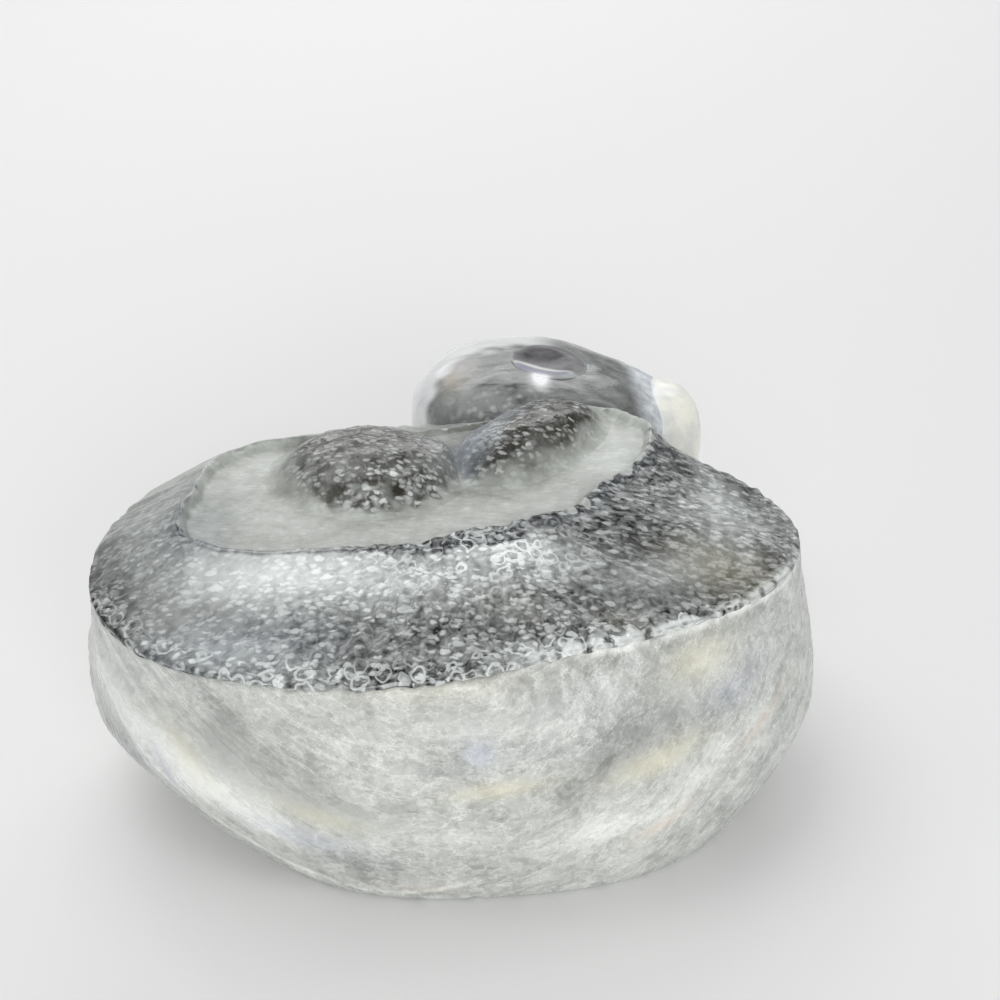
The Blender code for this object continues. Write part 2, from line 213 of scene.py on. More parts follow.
SLOPE_CLOUDS = (
    (0.25, -17.0, -11.5, 10.0, 4.2, 5.0),
    (0.11, 3.0, -7.5, 9.0, 2.6),
    (0.17, 32.0, 5.0, 6.0, 5.5),
    (0.16, 33.1, -3.9, 1.2, 1.0),
    (0.19, -20.0, -22.5, 10.0, 2.4, -20.0),
    (0.14, 7.5, -20.6, 4.0, 1.2, 12.0),
    (0.06, -30.0, 6.0, 4.0, 6.0),
    (-0.07, -35.5, -10.5, 3.0, 4.0),
    (-0.12, -28.5, -5.0, 3.0, 5.5, -15.0),
    (-0.08, -1.5, -17.8, 4.0, 1.6),
    (-0.2, -5.6, -24.4, 1.7, 0.9),
    (-0.05, 14.0, -12.5, 5.0, 2.5),
)
SLOPE_BIG_PEBBLES = ((1.3, 2.4, -7.6, 7.0, 2.2, 8.0), (0.4, -17.0, -12.0, 8.0, 3.0))
SLOPE_FIBRES = ((1.0, 32.0, 6.0, 6.0, 6.0), (0.8, 14.0, -12.0, 8.0, 3.5, 15.0))
SLOPE_CONTRAST = (
    (0.12, 2.4, -7.2, 7.5, 2.8),
    (0.06, 4.0, -11.0, 9.0, 3.5),
    (-0.12, 25.0, -8.0, 9.0, 4.5, 15.0),
)
SLOPE_BOLD = ((1.2, 4.0, -8.0, 8.5, 3.2, 8.0),)
SLOPE_WARM = ((1.0, 30.5, -6.0, 6.0, 4.0), (0.35, 19.0, -15.5, 4.0, 1.6), (0.3, 7.0, -15.0, 5.0, 2.0))
SADDLE_COOL = (0.6, 1.5, 12.0, 3.5, 6.0)
SLOPE_COOL = ((0.8, -27.0, -2.5, 3.0, 5.5), (0.7, -22.0, -21.0, 8.0, 3.0), SADDLE_COOL)
HEAD_TONE = 0.21
HEAD_CLOUDS = (
    (0.08, 1.6, 39.0, 2.4, 2.0),
    (0.22, 4.2, 41.5, 1.4, 1.1),
    (-0.08, 20.5, 38.0, 2.2, 2.2),
    (0.09, 0.0, 34.5, 3.6, 5.0),
)
HEAD_TAN = ((1.0, -0.4, 36.0, 1.5, 2.8), (0.4, 1.2, 38.0, 1.5, 2.0))
HEAD_LILAC = ((0.6, 0.5, 37.5, 1.4, 2.0),)
# A painted highlight: the bright fleck at the dimple's near edge.
PAINTED_HIGHLIGHT = (1.7, 10.9, 34.4, 1.1, 2.1)

# Floor, lamps and camera
PAPER = (0.82, 0.82, 0.81)
FLOOR_SIZE = 6.0
ROOM_COLOUR = (0.97, 0.98, 1.0, 1.0)
ROOM_STRENGTH = 0.42
LAMP_AIM = (0.0, 0.0, 0.02)
CAMERA_PLACE = (5.66, -176.9, 134.79)
CAMERA_TILT = math.radians(59.16)
CAMERA_LENS = 61.2
CAMERA_SENSOR = 36.0
CAMERA_CLIP = (0.01, 20.0)

# Colours that several kinds of glass share
BLACK = (0.0, 0.0, 0.0)
# White of the painted highlights.
PAINTED_GLINT_WHITE = (0.98, 0.99, 1.0)
GLASS_GREY = (0.3, 0.32, 0.31)


def smooth(value, low, high):
    """0 up to low, 1 from high, and an even S between them."""
    share = np.clip((value - low) / (high - low), 0.0, 1.0)
    return share * share * (3.0 - 2.0 * share)


def fade(value, low, high):
    """1 up to low, 0 from high, and the same S between them turned over."""
    return 1.0 - smooth(value, low, high)


def bell(value, middle, half):
    """1 at the middle value, falling off as a bell on both sides."""
    return np.exp(-(((value - middle) / half) ** 2))


def spot(x, y, middle_x, middle_y, half_x, half_y, tilt=0.0):
    """A soft oval patch, 1 in the middle and falling off as a bell, turned by its tilt in degrees."""
    cosine, sine = math.cos(math.radians(tilt)), math.sin(math.radians(tilt))
    gap_x, gap_y = x - middle_x, y - middle_y
    along, across = gap_x * cosine + gap_y * sine, gap_y * cosine - gap_x * sine
    return np.exp(-((along / half_x) ** 2) - (across / half_y) ** 2)


def patches(x, y, table):
    """The sum of a table's soft patches, each times its strength."""
    return sum(strength * spot(x, y, *place) for strength, *place in table)


def share_of(value):
    """A value kept between 0 and 1."""
    return np.clip(value, 0.0, 1.0)


def toward(angle, degrees, low, high):
    """How far a column faces a direction: 0 where the cosine between them is low, and 1 where it is high."""
    return smooth(np.cos(angle - math.radians(degrees)), low, high)


def around(angle, values):
    """Values at even directions, joined smoothly round the ring by their Fourier series."""
    count = len(values)
    terms = np.fft.rfft(values) / count
    order = np.arange(len(terms))
    weight = np.where((order == 0) | (order * 2 == count), 1.0, 2.0)
    waves = np.exp(1j * np.multiply.outer(angle, order))
    return (waves * (terms * weight)).real.sum(axis=-1)


def ring_waves(angle, lowest, highest, seed):
    """An even wobble round the ring: sines of whole orders with random phases, at most about 1."""
    chance = np.random.default_rng(seed)
    order = np.arange(lowest, highest + 1)
    phase = chance.uniform(0.0, TURN, len(order))
    size = chance.uniform(0.4, 1.0, len(order))
    waves = np.sin(np.multiply.outer(angle, order) + phase) * size
    return waves.sum(axis=-1) / np.sqrt((size**2).sum()) / 1.6


def ripples(points, length, seed):
    """Smooth random hills of about that length: a sum of 18 plane waves in random directions."""
    count = 18
    chance = np.random.default_rng(seed)
    heading = chance.normal(size=(count, points.shape[-1]))
    heading /= np.linalg.norm(heading, axis=1)[:, None]
    pace = TURN / (length * chance.uniform(0.7, 1.5, count))
    phase = chance.uniform(0.0, TURN, count)
    hills = np.zeros(points.shape[:-1])
    for way, speed, start in zip(heading, pace, phase):
        hills += np.sin(points @ way * speed + start)
    return hills / math.sqrt(count / 2.0)


def waves(points, table):
    """The sum of a table's ripples, each times its height."""
    return sum(height * ripples(points, length, seed) for height, length, seed in table)


def bent(plan, length, reach, seeds):
    """Plan coordinates that two ripples push about, so that grains on them get uneven outlines."""
    push = [reach * ripples(plan, length, seed) for seed in seeds]
    return plan[..., 0] + push[0], plan[..., 1] + push[1], push


def grains(u, v, size, seed):
    """Irregular grains on a jittered grid, each with a random number of its own.

    The inside is the distance to the second nearest grain's middle less that to the nearest, in grain sizes: 0 on
    the line between two grains and near 1 in a grain's middle.
    """
    cells = 97
    table = np.random.default_rng(seed).random((cells, cells, 3))
    across, along = u / size, v / size
    cell_u, cell_v = np.floor(across).astype(int), np.floor(along).astype(int)
    near = np.full(u.shape, 9.0)
    second = near.copy()
    pick = np.zeros(u.shape)
    for step_u in (-1, 0, 1):
        for step_v in (-1, 0, 1):
            row, column = cell_u + step_u, cell_v + step_v
            jitter = table[row % cells, column % cells]
            gap = np.hypot(across - row - jitter[..., 0], along - column - jitter[..., 1])
            closer = gap < near
            second = np.where(closer, near, np.minimum(second, gap))
            pick = np.where(closer, jitter[..., 2], pick)
            near = np.minimum(near, gap)
    return second - near, pick


def outlined(inside):
    """Painted light and shade of a pebble: a white highlight outline just inside a dark gap of painted shade."""
    return 1.2 * bell(inside, 0.22, 0.12) - 0.9 * bell(inside, 0.0, 0.1)


def seeded(inside, pick):
    """Painted highlights of fine grains: each as pale as its own number says, with dark between them."""
    return smooth(inside, 0.08, 0.4) * (0.15 + 1.1 * pick) - 0.4


def columns_round(count, lean=0.0):
    """Directions of a ring's columns, anticlockwise from +X, as one row; a lean sets them closer on the -Y side."""
    even = np.linspace(0.0, TURN, count, endpoint=False)[None, :]
    return even - lean * np.cos(even)


def oval(angle, half_length, half_depth, place=(0.0, 0.0), turn=0.0, squareness=2.0, swell=1.0):
    """Plan outline of an oval of that squareness, as (..., 2) points."""
    own = angle - turn
    reach = np.abs(np.cos(own)) ** squareness + np.abs(np.sin(own)) ** squareness
    spread = swell * reach ** (-1.0 / squareness)
    along, across = half_length * np.cos(own) * spread, half_depth * np.sin(own) * spread
    return np.stack(turned(along, across, place, turn), axis=-1)


def turned(along, across, place, turn):
    """Plan coordinates of a point given by its distances along and across a turned piece, from the piece's place."""
    cosine, sine = math.cos(turn), math.sin(turn)
    return place[0] + along * cosine - across * sine, place[1] + along * sine + across * cosine


def turned_back(x, y, place, turn):
    """Distances along and across a turned piece, of a plan point."""
    cosine, sine = math.cos(turn), math.sin(turn)
    gap_x, gap_y = x - place[0], y - place[1]
    return gap_x * cosine + gap_y * sine, gap_y * cosine - gap_x * sine


def base_line(angle, grow=0.0):
    """Outline of the ground base."""
    return oval(angle, BASE_HALF_LENGTH + grow, BASE_HALF_DEPTH + grow, BASE_PLACE, BASE_TURN, BASE_SQUARENESS)


def belly_line(angle):
    """Outline of the wall where it is widest."""
    return oval(angle, BELLY_HALF_LENGTH, BELLY_HALF_DEPTH)


def rim_line(angle):
    """Outline of the mould line."""
    return oval(angle, RIM_HALF_LENGTH, RIM_HALF_DEPTH, RIM_MIDDLE, swell=around(angle, RIM_SWELL))


def rim_height(angle):
    """Height of the mould line, which wanders up and down and dips round the pebbles that hang over it."""
    return RIM_HEIGHT + 0.25 * ring_waves(angle, 5, 14, 3) + 0.22 * ring_waves(angle, 30, 95, 4)


def away(plan, middle):
    """Directions of plan points from a middle, of length 1."""
    way = plan - middle
    return way / np.linalg.norm(way, axis=-1)[..., None]


def crest_line(angle):
    """Outline of the crest: the mould line moved in by the width of the slope, with a fine wobble."""
    rim = rim_line(angle)
    width = around(angle, SLOPE_WIDTH) + 0.3 * ring_waves(angle, 14, 40, 5)
    return rim - away(rim, RIM_MIDDLE) * width[..., None]


def slope_climb(share):
    """Share of the slope's rise: a quarter sine with a steeper last step up to the crest."""
    return (1.0 - SLOPE_LAST_STEP) * np.sin(share * math.pi / 2.0) + SLOPE_LAST_STEP * share**3


def channel_height(x, y):
    """Height of the channel's floor, with its faint waves and the saddle between the domes."""
    plan = np.stack((x, y), axis=-1)
    return CHANNEL_HEIGHT + 0.03 * ripples(plan, 5.0, 26) + SADDLE_RISE * spot(x, y, *SADDLE)


def lift(outline, height):
    """Plan points with a height each, as (..., 3)."""
    height = np.broadcast_to(height, outline.shape[:-1])
    return np.concatenate((outline, height[..., None]), axis=-1)


def grid_normals(grid):
    """Outward normals of a grid: the step to the next column crossed with the step to the next row."""
    along = np.roll(grid, -1, axis=1) - np.roll(grid, 1, axis=1)
    up = np.gradient(grid, axis=0)
    normal = np.cross(along, up)
    length = np.linalg.norm(normal, axis=-1, keepdims=True)
    return normal / np.maximum(length, 1e-9)


def skin(name, grid, marks, seam_rows=()):
    """Closed mesh through the rows of a grid, with a fan of triangles over each end.

    seam_rows are pairs of rows between which the faces are inner seams, where the glass runs on into its neighbour.
    Row -1 is the lower fan's pole and row len(grid) the upper one's.
    """
    rows, columns = grid.shape[:2]
    points = np.vstack((grid.reshape(-1, 3), grid[0].mean(axis=0), grid[-1].mean(axis=0)))
    points = (points + (0.0, BELLY_MIDDLE_Y, 0.0)) * MM
    here = np.arange(rows * columns).reshape(rows, columns)
    there = np.roll(here, -1, axis=1)
    quads = np.stack((here[:-1], there[:-1], there[1:], here[1:]), axis=-1).reshape(-1, 4)
    low = np.stack((np.full(columns, rows * columns), there[0], here[0]), axis=-1)
    high = np.stack((np.full(columns, rows * columns + 1), here[-1], there[-1]), axis=-1)
    mesh = bpy.data.meshes.new(name)
    mesh.from_pydata(points.tolist(), [], quads.tolist() + low.tolist() + high.tolist())
    band = np.concatenate((np.repeat(np.arange(rows - 1), columns), np.full(columns, -1), np.full(columns, rows - 1)))
    seam = np.zeros(len(band), dtype=np.int32)
    for first, last in seam_rows:
        seam[(band >= first) & (band < last)] = 1
    mesh.polygons.foreach_set("material_index", seam)
    for mark, values in marks.items():
        values = np.concatenate((values.reshape(-1), [values[0].mean(), values[-1].mean()]))
        mesh.attributes.new(mark, "FLOAT", "POINT").data.foreach_set("value", values.astype(np.float32))
    mesh.shade_smooth()
    mesh.set_sharp_from_angle(angle=SHARP_ANGLE)
    mesh.validate()
    mesh.update()
    piece = bpy.data.objects.new(name, mesh)
    bpy.context.scene.collection.objects.link(piece)
    return piece


def finish_piece(piece, node, glass, seam):
    """Hangs a piece on the frame in its node's place and gives it its glass."""
    piece.data.materials.append(glass)
    piece.data.materials.append(seam)
    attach(piece, "root")
    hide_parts(node)
    return piece


def wall_grid(angle, edge_rows, low_rows, high_rows):
    """The wall without its texture: ground edge, belly and mould line, row by row upward."""
    base, inset, belly, rim = base_line(angle), base_line(angle, -BASE_EDGE_INSET), belly_line(angle), rim_line(angle)
    quarter = np.linspace(0.0, math.pi / 2.0, edge_rows, endpoint=False)[:, None]
    edge = lift(inset + (base - inset) * np.sin(quarter)[..., None], BASE_EDGE_HEIGHT * (1.0 - np.cos(quarter)))
    share = np.linspace(0.0, 1.0, low_rows, endpoint=False)[:, None] ** 1.4
    bulge = (1.0 - (1.0 - share) ** WALL_ROUNDNESS) ** (1.0 / WALL_ROUNDNESS)
    low = lift(base + (belly - base) * bulge[..., None], BASE_EDGE_HEIGHT + (BELLY_HEIGHT - BASE_EDGE_HEIGHT) * share)
    share = np.linspace(0.0, 1.0, high_rows)[:, None]
    height = BELLY_HEIGHT + (rim_height(angle) - BELLY_HEIGHT) * share
    high = lift(belly + (rim - belly) * (share**2)[..., None], height)
    return np.concatenate((edge, low, high))


def wall_marks(grid, below_rim, bend):
    """Marks of the wall: satin clouds that bend round its lower corners, their tints, painted light low on its left,
    and the mould line's painted light and shade.
    """
    x, y, z = grid[..., 0], grid[..., 1], grid[..., 2]
    front = smooth(-y, 2.0, 12.0)
    clouds = patches(x, z, WALL_CLOUDS) - 0.07 * bell(below_rim, 1.2, 0.9) * smooth(x, 0.0, 12.0)
    # Painted light: a bright band and a thin bright line low on the wall's left, where the glass glows near its base.
    clouds += 0.25 * bell(z + 0.5 * x, 1.0, 3.2) * smooth(-x, 13.0, 20.0)
    clouds += 0.18 * bell(z - WALL_BEND * (x + 8.0) ** 2, 1.6, 0.35) * smooth(-x, -8.0, 0.0)
    tone = WALL_TONE + WALL_CLOUD_STRENGTH * clouds * front
    # Painted light along the mould line on the right, and painted shade along it on the left.
    line_front = smooth(-y, -4.0, 6.0)
    mould_line_light = bell(below_rim, 0.0, 0.5) * smooth(x, 6.0, 16.0) * line_front
    mould_line_light *= smooth(ripples(grid, 2.0, 14), -1.2, -0.4)
    mould_line_shade = bell(below_rim, 0.0, 0.35) * fade(x, 2.0, 10.0) * line_front
    marks = {tint: share_of(patches(x, z, table) * front) for tint, table in WALL_TINTS.items()}
    marks["tone"] = tone + (0.95 - tone) * mould_line_light - 0.28 * mould_line_shade
    marks["lively"] = 1.15 - 0.85 * share_of(patches(x, z, WALL_QUIET))
    marks["run"] = 0.45 * (x + y) * MM
    marks["flow"] = bend * MM
    return marks


def make_body():
    """The thick oval casting: its wall ripples as poured glass does, and flares a little at the mould line."""
    angle = columns_round(WALL_COLUMNS, FRONT_LEAN)
    grid = wall_grid(angle, *WALL_ROWS)
    normal = grid_normals(grid)
    normal[..., 2] *= WALL_UPRIGHT_SHARE
    x, y, z = grid[..., 0], grid[..., 1], grid[..., 2]
    below_rim = rim_height(angle) - z
    bend = z - WALL_BEND * x**2
    flow = np.stack((x * WALL_FLOW_STRETCH, y * WALL_FLOW_STRETCH, bend), axis=-1)
    relief = waves(grid, WALL_WAVES) + waves(flow, WALL_FLOW_WAVES)
    relief *= smooth(z, 0.2, 2.2) * smooth(below_rim, 0.0, 0.8)
    lip = RIM_LIP * bell(below_rim, 0.0, 0.5) * (1.0 + 0.3 * ripples(grid, 2.0, 14))
    grid = grid + normal * (relief + lip)[..., None]
    return skin("body", grid, wall_marks(grid, below_rim, bend), seam_rows=((len(grid) - 1, len(grid)),))


def channel_tone(x, y):
    """Tone of the channel's floor, which the feet of the domes share, with painted shade in the saddle between the
    domes and painted light and shade across its hollow.
    """
    return CHANNEL_TONE + patches(x, y, CHANNEL_LIGHT_AND_SHADE)


def slope_tone(angle, share, x, y):
    """Tone of the slope, with painted light and shade of its form: dark near the rim and under the crest, with the pale
    band of reflected light between them, and soft patches.
    """
    at_rim = bell(share, 0.0, 0.1)
    to_front = 0.265 + 0.10 * at_rim + 0.34 * bell(share, 0.74, 0.24)
    to_right = 0.17 + 0.06 * at_rim + 0.20 * bell(share, 0.33, 0.14)
    to_left = 0.24 + 0.16 * smooth(share, 0.05, 0.6)
    tone = to_front + (to_right - to_front) * toward(angle, *TONE_TO_RIGHT)
    tone = tone + (to_left - tone) * toward(angle, *TONE_TO_LEFT)
    return tone + patches(x, y, SLOPE_CLOUDS)


def plumage_grid(angle, crest):
    """The relief without its pebbles: slope, crest, the crest's inner lip and the channel's floor.

    Gives the grid, and each row's way over it: 0 to 1 up the slope, to 2 down the lip and to 3 over the floor.
    """
    rim = rim_line(angle)
    rim = rim + away(rim, RIM_MIDDLE) * SLOPE_OVERHANG
    bottom = rim_height(angle)
    even = np.linspace(0.0, 1.0, SLOPE_ROWS)[:, None]
    up = 0.6 * even + 0.2 * (1.0 - np.cos(math.pi * even))
    back = smooth(crest[..., 1], 15.0, 18.0) * smooth(crest[..., 0], -15.0, -11.0) * fade(crest[..., 0], 6.0, 10.0)
    top = CREST_HEIGHT - CREST_BACK_DROP * back
    start = bottom + SLOPE_EDGE
    slope = lift(rim + (crest - rim) * up[..., None], start + (top - start) * slope_climb(up))
    middle = crest.mean(axis=(0, 1))
    down = np.linspace(0.0, 1.0, LIP_ROWS)[1:, None]
    lip = crest - away(crest, middle) * CREST_LIP * down[..., None]
    floor_under_lip = channel_height(lip[..., 0], lip[..., 1])
    lip_rows = lift(lip, top + (floor_under_lip - top) * smooth(down, 0.0, 1.0))
    inward = np.linspace(0.0, 1.0, CHANNEL_ROWS, endpoint=False)[1:, None]
    floor = lip[-1:] + (middle - lip[-1:]) * inward[..., None]
    floor_rows = lift(floor, channel_height(floor[..., 0], floor[..., 1]))
    way = np.concatenate((np.zeros((1, 1)), up, 1.0 + down, 2.0 + inward))
    return np.concatenate((lift(rim, bottom), slope, lip_rows, floor_rows)), way


def slope_pebbles(grid, angle, near_rim, from_crest):
    """Height and paleness of the slope's pebbles, the paleness partly painted highlights, each kind of grain in its own
    region.

    Large outlined ones lie under the crest, beads at the mould line, dots to the right, streaks that fan out to the
    left, fibres on the right shoulder of the slope, and slanting grains on the rest.
    """
    plan = grid[..., :2]
    x, y = plan[..., 0], plan[..., 1]
    big_share = share_of(patches(x, y, SLOPE_BIG_PEBBLES)) * smooth(from_crest, 0.8, 1.8)
    streak_share = toward(angle, *TO_LEFT) * (1.0 - near_rim)
    fibre_share = share_of(patches(x, y, SLOPE_FIBRES))
    dot_share = toward(angle, *TO_RIGHT) * (1.0 - fibre_share) * (1.0 - near_rim)
    rest = share_of(1.0 - near_rim - big_share - streak_share - fibre_share - dot_share)

    u, v, _ = bent(plan, 2.4, 0.3, (31, 32))
    big, _ = grains(u * 0.8, v, 2.3, 22)
    edge, edge_pick = grains(u * 0.75, v * 1.1, 1.45, 23)
    lean, lean_pick = grains((u + v) * 0.45, (v - u) * 0.8, 0.9, 24)
    dot, dot_pick = grains((u - v) * 0.55, (v + u) * 0.85, 1.0, 25)
    fan = np.stack((np.arctan2(y, -12.0 - x) * 20.0, np.hypot(x + 12.0, y) * 0.22), axis=-1)
    streaks = waves(fan, ((0.55, 1.5, 34), (0.45, 0.8, 35)))
    fibres = ripples(np.stack((u * 0.35, v), axis=-1), 1.3, 36)

    relief = 0.30 * big_share * smooth(big, 0.0, 0.4) + 0.26 * near_rim * smooth(edge, 0.0, 0.45)
    relief += 0.15 * rest * smooth(lean, 0.0, 0.5) + 0.16 * dot_share * smooth(dot, 0.1, 0.6) * dot_pick
    relief += 0.035 * streak_share * streaks + 0.04 * fibre_share * fibres + waves(grid, SLOPE_WAVES)
    # Paleness of the grains: painted highlights on the pebbles, with their streaks and fibres.
    grain_and_sparkle = big_share * outlined(big) + near_rim * (0.6 * outlined(edge) + 0.7 * seeded(edge, edge_pick))
    grain_and_sparkle += dot_share * (1.5 * smooth(dot, 0.2, 0.55) * smooth(dot_pick, 0.2, 0.8) - 0.3)
    grain_and_sparkle += rest * seeded(lean, lean_pick) + 0.35 * streak_share * streaks + 0.4 * fibre_share * fibres
    return relief, grain_and_sparkle + waves(plan, ((0.25, 1.1, 33), (0.25, 3.2, 37)))


def plumage_marks(plan, angle, way, from_rim, from_crest, near_rim, calm, grain_and_sparkle):
    """Marks of the relief: tone with painted light and shade, contrast and tints of the pebbles, and satin in the
    channel inside the crest.
    """
    x, y = plan[..., 0], plan[..., 1]
    rightward = toward(angle, *TO_RIGHT) * np.ones_like(x)
    line_front = smooth(-y, -4.0, 6.0)
    pale_edge = smooth(x, 4.0, 14.0)
    ragged = (0.12 + 0.5 * pale_edge) * ripples(plan, 2.0, 39)
    pebbly = smooth(from_crest + ragged - 0.6 * pale_edge, -0.5, -0.1)

    tone = slope_tone(angle, share_of(way), x, y)
    tone += (CHANNEL_TONE - 0.16 * spot(x, y, 2.0, 21.0, 10.0, 4.0) - tone) * calm
    rim_glow = bell(from_rim, 0.35, 0.5) * smooth(x, 4.0, 12.0) * line_front
    rim_glow *= smooth(ripples(plan, 2.4, 38), -1.0, -0.3)
    rim_shade = bell(from_rim, 0.1, 0.35) * fade(x, 2.0, 10.0) * line_front
    tone += (0.85 - tone) * rim_glow - 0.12 * rim_shade
    # Painted shade: a dark band under the crest on the slope, and a dark line along the crest's edge, where the
    # relief's form would shade them.
    crest_seen = 1.0 - share_of(calm + smooth(y, 5.0, 12.0) * smooth(-x, -6.0, 0.0))
    band_end = 0.4 + 2.0 * smooth(x, -14.0, 6.0)
    band = crest_seen * smooth(from_crest, 0.25, 0.6) * fade(from_crest, band_end, band_end + 0.8)
    tone += (0.17 - tone) * 0.8 * band
    tone -= 0.24 * crest_seen * (1.0 - pale_edge) * bell(from_crest, -0.1, 0.3)
    lip_shade = 0.05 * smooth(-from_crest, 0.3, 0.8) * fade(-from_crest, 1.5, 4.0)
    tone = tone * pebbly + (channel_tone(x, y) - lip_shade) * (1.0 - pebbly)

    contrast = 0.28 + patches(x, y, SLOPE_CONTRAST) + 0.06 * near_rim - 0.04 * rightward
    contrast = np.clip(contrast - 0.12 * toward(angle, *TO_LEFT), 0.06, 1.0)
    contrast *= (1.0 - 0.6 * calm) * (1.0 - 0.7 * rim_glow)
    return {
        "grain_and_sparkle": np.clip(grain_and_sparkle, -1.0, 1.6) * pebbly,
        "tone": np.clip(tone, 0.03, 0.95),
        "amp": contrast * pebbly + CHANNEL_CONTRAST * (1.0 - pebbly),
        "satin": share_of((1.0 - pebbly) + 0.7 * calm),
        "warm": share_of(patches(x, y, SLOPE_WARM)),
        "cool": share_of(patches(x, y, SLOPE_COOL) + 0.2 * band),
        "side": rightward,
        "bold": share_of(patches(x, y, SLOPE_BOLD) + 0.7 * near_rim + 0.25 * fade(way, 0.97, 1.25)),
    }


def make_plumage():
    """The relief: slope from the mould line to the crest, the crest's inner lip, and the channel's floor.

    The pebbles stand along the grid's normals. They are lowest where the glass is calm, behind the domes and at the
    far left, and end at the rim and at the crest.
    """
    angle = columns_round(PLUMAGE_COLUMNS, FRONT_LEAN)
    crest = crest_line(angle)
    grid, way = plumage_grid(angle, crest)
    plan = grid[..., :2]
    x, y = plan[..., 0], plan[..., 1]
    on_slope = fade(way, 0.97, 1.25)
    from_rim = np.linalg.norm(grid - grid[1], axis=-1)
    from_crest = np.linalg.norm(plan - crest, axis=-1) * np.where(way < 1.0, 1.0, -1.0)
    near_rim = fade(from_rim, 1.6, 3.4) * smooth(-y, 5.0, 12.0)
    calm = smooth(y, 7.0, 13.0) * smooth(-x, -15.0, -8.0) + 0.6 * smooth(-x, 24.0, 30.0) * smooth(y, -4.0, 4.0)
    calm = share_of(calm) * on_slope
    relief, grain_and_sparkle = slope_pebbles(grid, angle, near_rim, from_crest)
    relief *= on_slope * smooth(from_rim, 0.0, 0.6) * (1.0 - 0.75 * calm)
    relief[0] = 0.0
    grid = grid + grid_normals(grid) * relief[..., None]
    marks = plumage_marks(plan, angle, way, from_rim, from_crest, near_rim, calm, grain_and_sparkle)
    piece = skin("plumage", grid, marks, seam_rows=((-1, 0),))
    hide_under_domes(piece, grid)
    return piece


def dome_share(x, y, dome):
    """Distance from a dome's middle as a share of its reach in that direction."""
    place_x, place_y, half_length, half_width, _, turn = dome
    along, across = turned_back(x, y, (place_x, place_y), turn)
    return np.hypot(along / half_length, across / half_width)


def hide_under_domes(piece, grid):
    """Turns the channel floor's faces under the domes into inner seams, where the dome's glass runs into the body's."""
    x, y = grid[..., 0], grid[..., 1]
    under = np.minimum(dome_share(x, y, WING), dome_share(x, y, SHOULDER)) < 1.0
    under &= grid[..., 2] < channel_height(x, y) + 0.2
    beside = np.roll(under, -1, axis=1)
    faces = under[:-1] & beside[:-1] & beside[1:] & under[1:]
    seam = np.zeros(len(piece.data.polygons), dtype=np.int32)
    piece.data.polygons.foreach_get("material_index", seam)
    seam[: faces.size][faces.reshape(-1)] = 1
    seam[-under.shape[1] :][under[-1]] = 1
    piece.data.polygons.foreach_set("material_index", seam)


def wing_paint(along, across):
    """Tone, contrast, blueness and softness of edge of the wing, with painted light and shade of its round form: dark
    in the middle, greyer at the back and left.
    """
    front = smooth(-across, 0.1, 0.8)
    tone = 0.19 + 0.08 * smooth(across, -0.1, 0.7) + 0.11 * smooth(-along, 0.4, 1.0)
    tone += 0.10 * smooth(along, 0.4, 0.9) * (1.0 - front) + 0.10 * front * smooth(along, -0.6, 0.2)
    contrast = 0.20 + 0.20 * front * smooth(along, -0.7, 0.4) - 0.1 * smooth(across, 0.0, 0.7)
    softness = 0.25 * smooth(-along, 0.2, 0.8) + 0.1 * smooth(across, 0.0, 0.6)
    return tone, contrast, np.zeros_like(tone), softness


def shoulder_paint(along, across):
    """Tone, contrast, blueness and softness of edge of the shoulder, with painted light and shade of its round form:
    blue-grey on its left flank, dark on its right.
    """
    flank = smooth(across - 0.35 * along, -0.1, 0.7)
    tone = 0.18 + 0.09 * flank - 0.04 * spot(along, across, 0.4, 0.75, 0.6, 0.25)
    return tone, 0.29 - 0.14 * flank, 0.7 * flank, 0.3 * smooth(-across, 0.0, 0.8)


